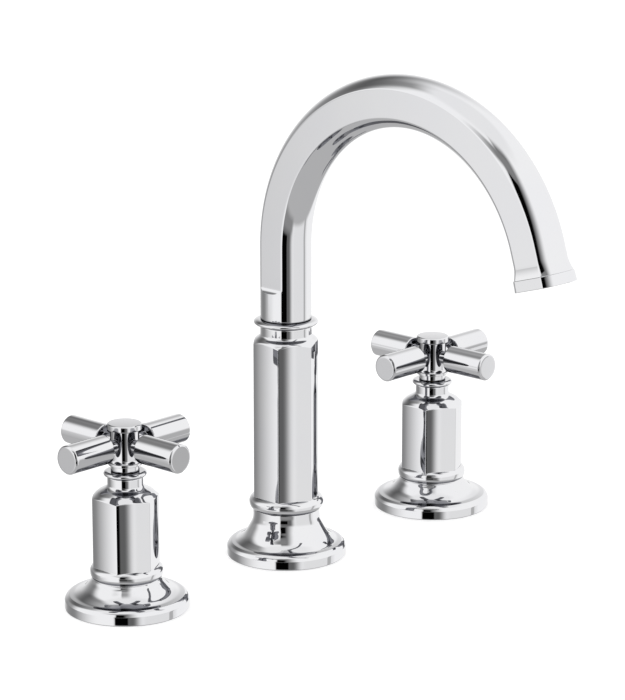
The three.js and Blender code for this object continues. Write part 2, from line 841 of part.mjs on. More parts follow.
function spoutUnit() {
  const unit = new THREE.Group();
  const bell = {
    radius: spoutNeckRadius,
    height: spoutBellHeight,
    neck: [[spoutNeckRadius, spoutBellTop], [spoutNeckRadius, spoutFlangeTop]],
    top: spoutFlangeTop,
  };
  const bead = [
    ...beadOutline(columnCornerRadius, spoutBeadRadius, spoutFlangeTop, spoutBeadTop),
    [spoutShankHole, spoutBeadTop],
    [spoutShankHole, spoutFlangeTop],
  ];
  const collar = [
    ...beadOutline(columnNeckRadius, spoutCollarRadius, columnTop, spoutCollarTop),
    [columnBore, spoutCollarTop],
    [columnBore, columnTop],
  ];
  const shank = tube(spoutShankRadius, spoutShankBore, spoutShankBase, spoutShankTop, bodySides);
  const bush = tube(bushRadius, spoutShankBore, spoutShankTop, bushTop, bodySides);
  unit.add(
    mesh('spout_base_gasket', rubber, gasket(spoutShankHole)),
    mesh('spout_base_flange', chrome, baseFlange(spoutShankHole, bell)),
    mesh('spout_bead_ring', chrome, turnedRing(bead, flangeSides)),
    mesh('spout_column', chrome, spoutColumn()),
    mesh('spout_collar_ring', chrome, turnedRing(collar, bodySides)),
    mesh('spout_shank', brass, shank),
    mesh('spout_swivel_bush', plastic, bush),
    mesh('spout_retaining_clip', steel, swivelClip()),
    ...clamp('spout', spoutShankHole, spoutWasherRadius, spoutNutRadius),
    mesh('gooseneck', chrome, gooseneck()),
    mesh('lower_o_ring', rubber, oRing(ringRises[0])),
    mesh('upper_o_ring', rubber, oRing(ringRises[1])),
    mesh('aerator_housing', chrome, atOutlet(aeratorHousing())),
    mesh('aerator_insert', plastic, atOutlet(aeratorInsert())),
    mesh('aerator_seal', rubber, atOutlet(aeratorSeal())),
  );
  return unit;
}

const faucet = new THREE.Group();
faucet.add(handleUnit('hot', 1), handleUnit('cold', -1), spoutUnit());

export default faucet;
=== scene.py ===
import json
import math

import bpy
import numpy as np
from mathutils import Matrix, Vector

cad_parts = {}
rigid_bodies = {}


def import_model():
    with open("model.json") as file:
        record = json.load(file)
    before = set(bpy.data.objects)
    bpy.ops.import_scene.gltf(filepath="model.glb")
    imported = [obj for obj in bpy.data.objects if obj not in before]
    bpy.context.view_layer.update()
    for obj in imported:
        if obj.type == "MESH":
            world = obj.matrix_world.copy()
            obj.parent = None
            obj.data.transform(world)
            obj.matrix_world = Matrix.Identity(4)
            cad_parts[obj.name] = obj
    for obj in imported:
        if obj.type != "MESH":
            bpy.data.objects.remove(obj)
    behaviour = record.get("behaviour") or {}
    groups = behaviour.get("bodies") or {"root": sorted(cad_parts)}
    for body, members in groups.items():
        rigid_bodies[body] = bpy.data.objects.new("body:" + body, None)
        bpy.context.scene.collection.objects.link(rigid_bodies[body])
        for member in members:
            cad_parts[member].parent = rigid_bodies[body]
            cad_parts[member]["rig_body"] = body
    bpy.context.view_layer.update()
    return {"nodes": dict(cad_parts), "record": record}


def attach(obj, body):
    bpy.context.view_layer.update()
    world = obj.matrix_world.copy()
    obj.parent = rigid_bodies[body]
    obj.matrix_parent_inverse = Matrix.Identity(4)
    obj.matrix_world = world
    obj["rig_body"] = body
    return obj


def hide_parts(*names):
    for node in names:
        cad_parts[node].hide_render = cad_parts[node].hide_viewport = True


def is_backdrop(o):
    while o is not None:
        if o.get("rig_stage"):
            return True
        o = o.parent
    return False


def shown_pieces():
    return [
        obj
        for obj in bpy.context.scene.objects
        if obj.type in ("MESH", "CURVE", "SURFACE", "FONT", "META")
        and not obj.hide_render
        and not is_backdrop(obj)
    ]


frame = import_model()
nodes = frame["nodes"]

# Every size of the faucet is in millimetres and is written into the meshes in metres.
METRES = 0.001
# Gap between pieces that fit into each other, and the bevel of edges that meet
FIT = 0.3

# Places of the three units
VALVE_SPACING = 203.2
UNIT_X = {"hot": -VALVE_SPACING / 2, "cold": VALVE_SPACING / 2, "spout": 0.0}
TOWARDS_SPOUT = {"hot": 0, "cold": 2}

# Base flange and its gasket
BASE_RADIUS = 27.3
RIM_HEIGHT = 4.2
BAND_HEIGHT = 2.4
CREASE_RADIUS = 23.5
FLANGE_TOP = RIM_HEIGHT + BAND_HEIGHT
GASKET_RADIUS = 23.8
GASKET_THICKNESS = 1.5

# Heights of one valve, from the bell upward
VALVE_BELL_TOP = 14.4
VALVE_WAIST_RADIUS = 14.75
VALVE_WAIST = ((VALVE_WAIST_RADIUS, 13.9), (14.85, VALVE_BELL_TOP))
VALVE_BEAD_TOP = 19.8
VALVE_BEAD_RADIUS = 16.0
VALVE_NECK_RADIUS = 15.25
SLEEVE_CORNER = 15.0
SLEEVE_HEX_TOP = 50.5
SLEEVE_NECK_START = 56.0
SLEEVE_NECK_RADIUS = 7.9
SLEEVE_TOP = 60.0
SLEEVE_CAVITY = 11.3
STEM_BORE = 4.3
COLLAR_TOP = 62.4
COLLAR_ROOT = 8.0
COLLAR_RADIUS = 9.5

# Cross handle
HUB_BASE = 62.7
HUB_RADIUS = 6.3
HUB_FLANGE_BASE = 65.2
HUB_FLANGE_TOP = 66.4
HUB_FLANGE_RADIUS = 7.45
HUB_COVE = ((HUB_FLANGE_RADIUS - 0.35, HUB_FLANGE_TOP), (HUB_RADIUS + 0.5, HUB_FLANGE_TOP + 0.28),
            (HUB_RADIUS + 0.17, HUB_FLANGE_TOP + 0.8), (HUB_RADIUS, 67.9))
HUB_TOP = 80.9
HUB_BORE = 3.9
SCREW_WELL = 3.8
SCREW_HOLE = 2.1
WEB_BASE = 76.5
WEB_TOP = 78.3
CAP_RADIUS = 7.65
CAP_TOP = 83.8
CAP_PLUG = 3.5
CAP_PLUG_DEPTH = 0.6
CAP_EDGE = 0.5
CROWN_HEIGHT = 0.12
ARM_HEIGHT = 74.15
ARM_RADIUS = 6.37
ARM_START = 11.8
ARM_END = 34.3
ARM_EDGE = 0.7
ARM_NECK_RADIUS = 3.0
ARM_STUD_RADIUS = 2.4
ARM_STUD_START = 4.9
ARM_NECK_START = 6.6

# Spout, from the bell upward
SPOUT_BELL_TOP = 17.8
SPOUT_NECK_RADIUS = 15.2
SPOUT_FLANGE_TOP = 22.2
SPOUT_WAIST = ((15.24, 18.1), (SPOUT_NECK_RADIUS, 19.6), (15.26, 20.9),
               (15.36, SPOUT_FLANGE_TOP))
SPOUT_BEAD_TOP = 28.4
SPOUT_BEAD_RADIUS = 17.0
COLUMN_CORNER = 15.4
COLUMN_HEX_TOP = 100.2
COLUMN_NECK_START = 104.2
COLUMN_NECK_RADIUS = 11.7
COLUMN_TOP = 108.5
COLUMN_BORE = 10.0
SPOUT_SHANK_HOLE = 10.6
SPOUT_SHANK_TOP = 56.0
CLIP_GROOVE_RADIUS = 10.9
CLIP_BASE = 66.0
CLIP_TOP = 67.2
SPOUT_COLLAR_TOP = 111.3
SPOUT_COLLAR_RADIUS = 14.6

# Gooseneck
TUBE_RADIUS = 11.6
FLAT_HALF = 9.7
WATERWAY_RADIUS = 7.0
TAIL_RADIUS = 9.7
TAIL_GROOVE = 8.45
TAIL_GROOVES = [[5.7, 7.5], [25.2, 26.8], [33.2, 34.8]]
TAIL_BASE = 60.0
TUBE_BASE = 111.6
FLAT_START = 126.9
SCOOP_RADIUS = 2.4
BEND_HEIGHT = 145.6
BEND_RADIUS = 74.0
BEND_ANGLE = math.radians(163)
OUTLET_RUN = 17.0
AERATOR_BORE = 8.7
AERATOR_DEPTH = 8.5
AERATOR_RADIUS = 8.4
AERATOR_INNER = 7.0
AERATOR_LIP = 5.8
AERATOR_RECESS = 0.5
AERATOR_LIP_TOP = 1.3
AERATOR_TOP = 6.5

# The gooseneck widens to its outlet, first smoothly in rows at these heights above it, and then
# by the scales and heights of the raised band at its edge
FLARE_RISES = (10.7, 9.8, 8.9, 8.0, 7.0, 6.2, 5.7, 5.3, 5.05)
FLARE_HEIGHT = 5.75
FLARE_GAIN = 0.105
FLARE_POWER = 1.6
OUTLET_BAND = (
    (1.1055, 4.98), (1.108, 4.93), (1.116, 4.9), (1.126, 4.87), (1.134, 4.84), (1.1385, 4.77),
    (1.1402, 4.66), (1.141, 4.4), (1.1425, 4.0), (1.145, 3.2), (1.148, 2.3), (1.151, 1.3),
    (1.153, 0.7), (1.154, 0.36), (1.154, 0.2), (1.152, 0.09), (1.147, 0.03), (1.14, 0.0),
    (1.126, 0.0))

# Valve body and the clamping parts under the deck
SHANK_HOLE = 12.8
SHANK_RADIUS = 12.5
SHANK_TOP = 14.1
BARREL_RADIUS = 10.9
BARREL_STEP = 20.0
BARREL_TOP = 30.0
BARREL_NECK = 9.6
CAVITY_RADIUS = 8.2
SEAT_HEIGHT = 10.0
FEED_BORE = 3.0
INLET_RADIUS = 10.2
INLET_BORE = 5.5
INLET_BORE_TOP = -62.2
INLET_BASE = -78.5
BOSS_RADIUS = 14.5
BOSS_BASE = -62.5
THREAD_BASE = -44.5
OUTLET_RADIUS = 8.5
OUTLET_BORE = 3.5
OUTLET_START = 12.0
OUTLET_REACH = 30.0
SPOUT_SHANK_RADIUS = 10.3
SPOUT_SHANK_BORE = 7.0
DECK_UNDERSIDE = -25.0
RUBBER_WASHER_BASE = -28.0
STEEL_WASHER_BASE = -29.5
NUT_BASE = -38.5
# Hole, washer radius and nut corner of each unit
CLAMPS = {"hot": (SHANK_HOLE, 21.0, 20.8), "cold": (SHANK_HOLE, 21.0, 20.8),
          "spout": (SPOUT_SHANK_HOLE, 19.0, 17.3)}
THREAD_PITCH = 1.8
THREAD_DEPTH = 0.75
ROWS_PER_TURN = 8

# Shapes as shares of a width and a height
BAND_SHARES = [[1.0, 0.0], [0.94, 0.17], [0.79, 0.58], [0.5, 0.92]]
BELL_SHARES = [[0.92, 0.02], [0.8, 0.07], [0.62, 0.16], [0.47, 0.28], [0.34, 0.43], [0.2, 0.62],
               [0.1, 0.76], [0.04, 0.88], [0.0, 1.0]]
SHOULDER_SHARES = [[1.0, 0.0], [0.88, 0.12], [0.776, 0.25], [0.63, 0.43], [0.42, 0.59],
                   [0.23, 0.71], [0.11, 0.81], [0.035, 0.91], [0.0, 1.0]]

# Radius of a bowed face as a multiple of the corner radius
VALVE_BOW = 1.8
COLUMN_BOW = 2.1

# Lengths over which the edges are eased, and plain bevels
FINE_EDGE = 0.2
SOFT_EDGE = 0.25
DOME_EDGE = 0.5
RUBBER_EDGE = 0.7
LIP_BEVEL = 0.15
PIPE_BEVEL = 0.8
NUT_BEVEL = 0.9

# Widths over which two surfaces blend where they cross
CORNER_BLEND = 0.2
FLAT_BLEND = 0.22
NUT_BLEND = 0.25
SHOULDER_BLEND = 0.3
BEAD_BLEND = 0.4

# Where the inner outlines of six-sided pieces start, as shares of the corner or face radius, and
# how far inside the hexagon the bead's upper curve ends
ROOT_SHARE, NUT_ROOT_SHARE = 0.86, 0.9
BEAD_DRAWN_IN = 0.75

# Rows above a foot, and extra rows beside a line where two surfaces cross, in mm and in degrees
FOOT_STEPS = np.array([0.0, 0.02, 0.06, 0.2])
CROSSING_STEPS = np.array([0.06, 0.12, 0.2, 0.3, 0.42, 0.6, 0.9])
FLAT_EDGE_STEPS = np.array([0.4, 0.8, 1.4, 2.2, 3.2])
FLAT_EDGE_CLEARANCE = 4.2

# Points round the pieces, or over one face of six, and rows along them
FLANGE_SIDES, COLLAR_SIDES, SPOUT_COLLAR_SIDES, WASHER_SIDES = 160, 128, 144, 120
HUB_SIDES, ARM_SIDES, AERATOR_SIDES, TUBE_SIDES = 96, 72, 96, 108
THREAD_SIDES, NIPPLE_SIDES, FACE_SIDES, NUT_FACE_SIDES = 96, 80, 44, 26
FLANGE_ROWS, DOME_ROWS, BEAD_ROWS, SCOOP_ROWS, BEND_ROWS = 190, 500, 24, 36, 190
CURVE_STEPS, DOME_STEPS = 8, 16

# Radii closer than this are the same one
SAME_RADIUS = 0.02

# Share of an outline's samples that goes by its length; its turns take the rest
EVEN_SHARE = 0.5
LONG_SHARE = 0.6


# Surfaces

def stepped(radius, height, *turns, upright=False):
    """Corners of a stepped outline: from the radius and height on, each further number is the next
    radius or height in turn, and upright says that the first one is a height."""
    corners = [[radius, height]]
    for k, turn in enumerate(turns):
        r, z = corners[-1]
        corners.append([r, turn] if (k % 2 == 0) == upright else [turn, z])
    return corners


def drawn_line(points, step):
    """Even samples of a polyline: x and y are read off at equal distances along it."""
    corners = np.asarray(points, float)
    along = np.hstack([[0.0], np.cumsum(np.hypot(*np.diff(corners, axis=0).T))])
    keep = np.hstack([[True], np.diff(along) > 1e-9])
    corners, along = corners[keep], along[keep]
    places = np.linspace(0.0, along[-1], max(int(along[-1] / step), 8) + 1)
    return np.stack([np.interp(places, along, corners[:, k]) for k in range(2)], 1)


def softened(points, edge, count, ring, length_share=EVEN_SHARE):
    """An outline with its corners eased. The polyline is sampled evenly, each sample becomes the
    mean of its neighbours over the edge length, twice over, and count samples are then picked so
    that each step holds an equal share of length and of turning."""
    half = 4  # samples over half of the edge length
    if ring:
        points = [*points, points[0]]
    line = drawn_line(points, edge / (2 * half))
    kernel = np.convolve(np.ones(2 * half + 1), np.ones(2 * half + 1))
    kernel /= kernel.sum()
    if ring:
        line = line[:-1]
        padded = np.vstack([line[-2 * half:], line, line[:2 * half]])
    else:
        head = line[0] + (line[0] - line[1]) * np.arange(2 * half, 0, -1)[:, None]
        tail = line[-1] + (line[-1] - line[-2]) * np.arange(1, 2 * half + 1)[:, None]
        padded = np.vstack([head, line, tail])
    eased = np.stack([np.convolve(padded[:, k], kernel, "valid") for k in range(2)], 1)
    closed = np.vstack([eased, eased[:1]]) if ring else eased
    leap = np.diff(closed, axis=0)
    length = np.hypot(*leap.T)
    turning = np.abs(np.gradient(np.unwrap(np.arctan2(leap[:, 1], leap[:, 0]))))
    share = length_share * length / length.sum() + (1 - length_share) * turning / turning.sum()
    measure = np.hstack([[0.0], np.cumsum(share)])
    wanted = np.linspace(0.0, measure[-1], count + ring)[:count]
    return np.stack([np.interp(wanted, measure, closed[:, k]) for k in range(2)], 1)


def shared_line(shares, inner, outer, base, height):
    """Outline points from shares: radius inner + (outer - inner) a, height base + height b."""
    part = np.asarray(shares)
    return np.stack([inner + (outer - inner) * part[:, 0], base + height * part[:, 1]], 1)


def flowing(points, steps):
    """A curve through points: on each span a cubic whose end slopes are half the chord between
    the neighbouring points."""
    p = np.asarray(points, float)
    before, after = np.vstack([2 * p[0] - p[1], p[:-1]]), np.vstack([p[1:], 2 * p[-1] - p[-2]])
    slope = (after - before) / 2
    t = np.linspace(0, 1, steps, endpoint=False)[None, :, None]
    a, b, u, v = p[:-1, None], p[1:, None], slope[:-1, None], slope[1:, None]
    spans = (2 * t**3 - 3 * t**2 + 1) * a + (t**3 - 2 * t**2 + t) * u
    spans = spans + (-2 * t**3 + 3 * t**2) * b + (t**3 - t**2) * v
    return np.vstack([spans.reshape(-1, 2), p[-1:]])


def around_axis(r, angle, z):
    """Points (r cos t, r sin t, z) from radii, angles about the upright axis and heights."""
    return np.stack([r * np.cos(angle), r * np.sin(angle), z + 0 * angle], -1)


def closed_by(r, angle, z, outline):
    """The same with the rows of an outline added, which is alike at every angle."""
    return around_axis(np.vstack([r, outline[:, :1] + 0 * angle]), angle,
                       np.vstack([z, outline[:, 1:] + 0 * angle]))


def turned(outline, sides):
    """The outline carried about the upright axis, with a point for each of the sides."""
    return around_axis(outline[:, :1], 2 * np.pi * np.arange(sides) / sides, outline[:, 1:])


def soft_minimum(first, second, width):
    """The smaller of two lengths, rounded where they cross: min - w h^2 / 4 with
    h = 1 - |a - b| / w."""
    h = np.clip(1 - np.abs(first - second) / width, 0, None)
    return np.minimum(first, second) - width * h * h / 4


def in_scene(name, data):
    """A new object that holds a mesh or a camera."""
    thing = bpy.data.objects.new(name, data)
    bpy.context.scene.collection.objects.link(thing)
    return thing


def skin(name, rows, ring):
    """A closed mesh over a grid of points whose columns go all round. On a ring the last row joins
    the first one; otherwise the first and last rows are each drawn together to one pole."""
    rows = np.asarray(rows, float) * METRES
    high, wide, _ = rows.shape
    if ring:
        points = rows.reshape(-1, 3)
        index = np.arange(high * wide).reshape(high, wide)
        low, up = index, np.roll(index, -1, axis=0)
        tris = np.zeros((0, 3), int)
    else:
        inner = rows[1:-1].reshape(-1, 3)
        points = np.vstack([inner, rows[0].mean(0), rows[-1].mean(0)])
        index = np.arange((high - 2) * wide).reshape(high - 2, wide)
        low, up = index[:-1], index[1:]
        foot = np.stack([np.full(wide, len(inner)), np.roll(index[0], -1), index[0]], -1)
        head = np.stack([np.full(wide, len(inner) + 1), index[-1], np.roll(index[-1], -1)], -1)
        tris = np.vstack([foot, head])
    quads = np.stack([low, np.roll(low, -1, 1), np.roll(up, -1, 1), up], -1).reshape(-1, 4)
    corners = np.hstack([quads.ravel(), tris.ravel()])
    starts = np.hstack([4 * np.arange(len(quads)), 4 * len(quads) + 3 * np.arange(len(tris))])
    mesh = bpy.data.meshes.new(name)
    mesh.vertices.add(len(points))
    mesh.vertices.foreach_set("co", points.ravel())
    mesh.loops.add(len(corners))
    mesh.loops.foreach_set("vertex_index", corners)
    mesh.polygons.add(len(starts))
    mesh.polygons.foreach_set("loop_start", starts)
    mesh.update(calc_edges=True)
    mesh.validate()
    mesh.shade_smooth()
    return in_scene(name, mesh)


def dress(node, rows, finish, x=0.0, ring=True, ending="skin"):
    """Puts a fine surface, moved along X, in the place of its CAD node."""
    slot_name, material = finish
    piece = skin(f"{node}_{ending}", rows + np.array([x, 0.0, 0.0]), ring)
    piece.data.materials.append(material)
    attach(piece, nodes[node]["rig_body"])
    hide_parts(node)


# Pieces that show above the deck

def base_flange(bore, neck, bell_top, waist):
    """Turned base: rim, rounded band, crease, a hollow bell that runs in to the neck and ends in a
    waist, and a recess for the gasket below."""
    top = waist[-1][1]
    band = shared_line(BAND_SHARES, CREASE_RADIUS, BASE_RADIUS, RIM_HEIGHT, BAND_HEIGHT)
    bell = shared_line(BELL_SHARES, neck, CREASE_RADIUS, FLANGE_TOP, bell_top - FLANGE_TOP)
    crease = [[CREASE_RADIUS, FLANGE_TOP]]
    return softened(np.vstack([
        stepped(bore, (top + GASKET_THICKNESS) / 2, GASKET_THICKNESS, GASKET_RADIUS + FIT, 0.0,
                BASE_RADIUS - FIT, upright=True),
        [[BASE_RADIUS, FIT]],
        flowing(band, CURVE_STEPS),
        crease,
        flowing(np.vstack([crease, bell[:-1], waist]), CURVE_STEPS),
        [[bore, top]],
    ]), SOFT_EDGE, FLANGE_ROWS, ring=True, length_share=LONG_SHARE)


def off_face(angle):
    """How far each angle is from the middle of the nearest of six faces."""
    return np.abs(np.mod(angle + np.pi / 2, np.pi / 3) - np.pi / 6)


def hex_reach(corner, bow, angle):
    """Distance from the axis to a six-sided outline with bowed faces, at each angle. A face is an
    arc of radius F = bow x corner about a point behind the axis, so along a ray at f from the
    middle of the face its distance is sqrt(F^2 - c^2 sin^2 f) - c cos f."""
    face = bow * corner
    half = math.asin(corner / 2 / face)
    back = face * math.cos(half) - corner * math.cos(math.pi / 6)
    off = off_face(angle)
    near, far = [np.sqrt(face**2 - (back * np.sin(f))**2) - back * np.cos(f)
                 for f in (off, np.pi / 3 - off)]
    return soft_minimum(near, far, CORNER_BLEND)


def hex_angles(per_face):
    """Angles round a six-sided piece, closer together towards its corners: within a face,
    f = 30 degrees x (1.42 u - 0.42 u^3) with u from -1 to 1."""
    u = np.linspace(-1, 1, per_face, endpoint=False)
    within = (1.42 * u - 0.42 * u**3) * np.pi / 6
    middles = -np.pi / 2 + (np.arange(6)[:, None] + 0.5) * np.pi / 3
    return (middles + within).ravel()


def hex_sleeve(corner, bow, base, hex_top, neck_start, neck, top, bores):
    """Six-sided sleeve with a domed shoulder. The radius is the softened smaller of the bowed
    hexagon and the turned dome, the rows follow the line on which the two cross, and the bores
    close the surface inside."""
    angle = hex_angles(FACE_SIDES)
    hexagon = hex_reach(corner, bow, angle)[None, :]
    shoulder = shared_line(SHOULDER_SHARES, neck, corner, hex_top, neck_start - hex_top)
    dome = flowing(shoulder, DOME_STEPS)
    beyond = dome[0] + 14 * (dome[0] - dome[1])
    line = np.vstack([beyond, dome, [neck, top + 2.0]])
    line = softened(line, DOME_EDGE, DOME_ROWS, ring=False)
    crossing = np.interp(-hexagon, -line[:, 0], line[:, 1])
    margin = CROSSING_STEPS[-1]
    near = np.hstack([-CROSSING_STEPS[::-1], [0.0], CROSSING_STEPS])[:, None]
    foot = base + FOOT_STEPS[:, None] + 0 * hexagon
    low = foot[-1:] + (crossing - margin - foot[-1:]) * np.linspace(0, 1, 9)[1:-1, None]
    start = crossing + margin
    end = neck_start + 1.2
    lip = top - LIP_BEVEL
    high = start + (end - start) * np.linspace(0, 1, 40)[1:, None]
    neck_rows = np.linspace(end, lip, 6)[1:, None] + 0 * hexagon
    z = np.vstack([foot, low, crossing + near, high, neck_rows])
    r = soft_minimum(hexagon + 0 * z, np.interp(z, line[:, 1], line[:, 0]), SHOULDER_BLEND)
    root = corner * ROOT_SHARE
    inside = np.vstack([[[neck, lip], [neck - LIP_BEVEL, top]], bores, [[root, base]]])
    inside = softened(inside, FINE_EDGE, 70, ring=False, length_share=LONG_SHARE)
    return closed_by(r, angle, z, inside[1:])


def hex_bead(neck, corner, bow, bulge, base, top, bore):
    """Rounded ring that a six-sided sleeve runs down into: half an ellipse below its widest line,
    and above it the softened larger of that curve, drawn in further, and the hexagon."""
    angle = hex_angles(FACE_SIDES)
    hexagon = hex_reach(corner, bow, angle)[None, :]
    root = hexagon.min() - BEAD_DRAWN_IN
    low = np.linspace(-np.pi / 2, 0, BEAD_ROWS)[:-1, None]
    high = np.linspace(0, np.pi / 2, 2 * BEAD_ROWS)[:, None]
    lower = neck + (bulge - neck) * np.cos(low) + 0 * hexagon
    curve = root + (bulge - root) * np.cos(high) + 0 * hexagon
    upper = -soft_minimum(-curve, -hexagon + 0 * high, BEAD_BLEND)
    middle, half = (base + top) / 2, (top - base) / 2
    z = middle + half * np.sin(np.vstack([low, high])) + 0 * hexagon
    inner = softened(stepped(root, top, bore, base, root), FINE_EDGE, 40, ring=False)
    return closed_by(np.vstack([lower, upper]), angle, z, inner)


def collar_ring(root, bulge, bore, base, top):
    """Thin ring on a neck, half an ellipse outside: radius root + (bulge - root) cos a, height
    middle + half sin a, with a from -90 to 90 degrees."""
    angle = np.linspace(-np.pi / 2, np.pi / 2, BEAD_ROWS)
    bead = np.stack([root + (bulge - root) * np.cos(angle),
                     (base + top) / 2 + (top - base) / 2 * np.sin(angle)], 1)
    return softened(np.vstack([bead, [[bore, top], [bore, base]]]), FINE_EDGE, 90, ring=True)


def hub_outline():
    """Turned hub: skirt, thin flange, cove, barrel, and the bores for stem and screw."""
    return softened(np.vstack([
        stepped(HUB_BORE, HUB_BASE, HUB_RADIUS, HUB_FLANGE_BASE, HUB_FLANGE_RADIUS,
                HUB_FLANGE_TOP),
        flowing(HUB_COVE, CURVE_STEPS),
        stepped(HUB_RADIUS, HUB_TOP, SCREW_WELL, WEB_TOP, SCREW_HOLE, WEB_BASE, HUB_BORE),
    ]), FINE_EDGE, 160, ring=True)


def cap_outline():
    """Round button: plug, flat underside, eased edges and a faint crown."""
    across = np.linspace(CAP_RADIUS - CAP_EDGE, 0, 12)
    crown = np.stack([across, CAP_TOP - CROWN_HEIGHT * (across / CAP_RADIUS)**2], 1)
    return softened(np.vstack([
        stepped(0, HUB_TOP - CAP_PLUG_DEPTH, CAP_PLUG, HUB_TOP, CAP_RADIUS - FIT),
        [[CAP_RADIUS, HUB_TOP + FIT], [CAP_RADIUS, CAP_TOP - CAP_EDGE]],
        crown,
    ]), FINE_EDGE, 90, ring=False)


def arm_outline():
    """Plain round arm on its stud: neck, inner end, barrel and bevelled tip."""
    return softened([
        *stepped(0, ARM_STUD_START, ARM_STUD_RADIUS, ARM_NECK_START, ARM_NECK_RADIUS, ARM_START,
                 ARM_RADIUS - FIT),
        [ARM_RADIUS, ARM_START + FIT], [ARM_RADIUS, ARM_END - ARM_EDGE],
        [ARM_RADIUS - ARM_EDGE, ARM_END], [0, ARM_END],
    ], FINE_EDGE, 84, ring=False, length_share=LONG_SHARE)


def laid_out(rows, quarter, height):
    """An upright piece laid along +X at a height and turned by quarters about the unit's axis:
    (a, b, c) goes to (c, b, -a), and then by cos and sin of the quarter turn."""
    flat = np.stack([rows[..., 2], rows[..., 1], -rows[..., 0]], -1)
    c, s = round(math.cos(quarter * math.pi / 2)), round(math.sin(quarter * math.pi / 2))
    return np.stack([c * flat[..., 0] - s * flat[..., 1], s * flat[..., 0] + c * flat[..., 1],
                     flat[..., 2] + height], -1)


def along_neck(distance):
    """The gooseneck's centre line and its tangent, from its tail: straight up to the bend, then
    (R (cos a - 1), H + R sin a) in the YZ plane, then straight on to the outlet."""
    rise = BEND_HEIGHT - TAIL_BASE
    angle = np.clip((distance - rise) / BEND_RADIUS, 0, BEND_ANGLE)
    before = np.clip(distance, None, rise)
    after = np.clip(distance - rise - BEND_ANGLE * BEND_RADIUS, 0, None)
    y = BEND_RADIUS * (np.cos(angle) - 1) - after * np.sin(angle)
    z = TAIL_BASE + before + BEND_RADIUS * np.sin(angle) + after * np.cos(angle)
    return y, z, angle


NECK_LENGTH = BEND_HEIGHT - TAIL_BASE + BEND_ANGLE * BEND_RADIUS + OUTLET_RUN


def flatted_angles():
    """Angles round the tube, with more of them at the four lines where the flats end."""
    edge = math.acos(FLAT_HALF / TUBE_RADIUS)
    lines = np.array([edge, np.pi - edge, np.pi + edge, 2 * np.pi - edge])
    steps = np.hstack([-FLAT_EDGE_STEPS[::-1], [0.0], FLAT_EDGE_STEPS])
    close = (lines[:, None] + np.radians(steps)).ravel()
    even = np.linspace(0, 2 * np.pi, TUBE_SIDES, endpoint=False)
    gap = np.abs(even[:, None] - lines[None, :]).min(1)
    return np.sort(np.hstack([even[gap > math.radians(FLAT_EDGE_CLEARANCE)], close]))


def tail_outline(foot, end):
    """The gooseneck's lower end: the tail with its grooves up to the foot of the tube, and the
    tube from there on, with heights from the bottom of the tail."""
    return softened(np.vstack([
        [[WATERWAY_RADIUS, 0.0], [TAIL_RADIUS, 0.0]],
        *[stepped(TAIL_RADIUS, low, TAIL_GROOVE, high, TAIL_RADIUS) for low, high in TAIL_GROOVES],
        stepped(TAIL_RADIUS, foot, TUBE_RADIUS, end),
    ]), FINE_EDGE, 120, ring=False)


def gooseneck_rows():
    """The bent tube: each row is a section about the centre line with radius
    min(r, half width / |cos t|), both scaled up towards the outlet. The flats run out below in a
    round scoop, half width F + S - sqrt(S^2 - d^2) at a depth d under their start. The outer rows
    run from the tail to the outlet's edge and the inner ones back through the waterway."""
    angle = flatted_angles()
    ledge, no_flat = FLAT_START - TAIL_BASE, 1.6 * TUBE_RADIUS
    tail = tail_outline(TUBE_BASE - TAIL_BASE, ledge - SCOOP_RADIUS - 0.6)
    depth = SCOOP_RADIUS * np.sin(np.linspace(0.49 * np.pi, 0, SCOOP_ROWS))
    scoop = FLAT_HALF + SCOOP_RADIUS - np.sqrt(SCOOP_RADIUS**2 - depth**2)
    stretch = np.linspace(ledge + 0.3, NECK_LENGTH - 11.6, BEND_ROWS)
    rise, band = np.array(FLARE_RISES), np.array(OUTLET_BAND)
    flare = np.clip((FLARE_RISES[0] - rise) / FLARE_HEIGHT, 0, 1) ** FLARE_POWER
    widening = np.hstack([1 + FLARE_GAIN * flare, band[:, 0]])
    inner = softened(stepped(10.0, 0.0, AERATOR_BORE, AERATOR_DEPTH, WATERWAY_RADIUS, 11.0),
                     FINE_EDGE, 44, ring=False)
    back = np.hstack([np.linspace(NECK_LENGTH - 12.5, 1.5, 90), [0.8, 0.4]])
    radius = np.hstack([tail[:, 0], np.full(len(scoop) + len(stretch), TUBE_RADIUS),
                        TUBE_RADIUS * widening, inner[:, 0],
                        np.full(len(back), WATERWAY_RADIUS)])[:, None]
    half = np.hstack([np.full(len(tail), no_flat), scoop, np.full(len(stretch), FLAT_HALF),
                      FLAT_HALF * widening, np.full(len(inner) + len(back), no_flat)])[:, None]
    distance = np.hstack([tail[:, 1], ledge - depth, stretch, NECK_LENGTH - rise,
                          NECK_LENGTH - band[:, 1], NECK_LENGTH - inner[:, 1], back])
    plain = radius + 0 * angle
    flatted = soft_minimum(plain, half / np.maximum(np.abs(np.cos(angle)), 0.05), FLAT_BLEND)
    reach = np.where(half == no_flat, plain, flatted)
    y, z, bend = along_neck(distance)
    across, outward = reach * np.cos(angle), reach * np.sin(angle)
    return np.stack([across, y[:, None] + outward * np.cos(bend)[:, None],
                     z[:, None] + outward * np.sin(bend)[:, None]], -1)


def at_outlet(rows):
    """From the outlet's own axes, face at zero and tube above, to its place: a turn about X by the
    bend less a half turn, and a shift to the end of the centre line."""
    y, z, _ = along_neck(np.array([NECK_LENGTH]))
    c, s = math.cos(BEND_ANGLE - math.pi), math.sin(BEND_ANGLE - math.pi)
    return np.stack([rows[..., 0], c * rows[..., 1] - s * rows[..., 2] + y[0],
                     s * rows[..., 1] + c * rows[..., 2] + z[0]], -1)


# Pieces under the deck

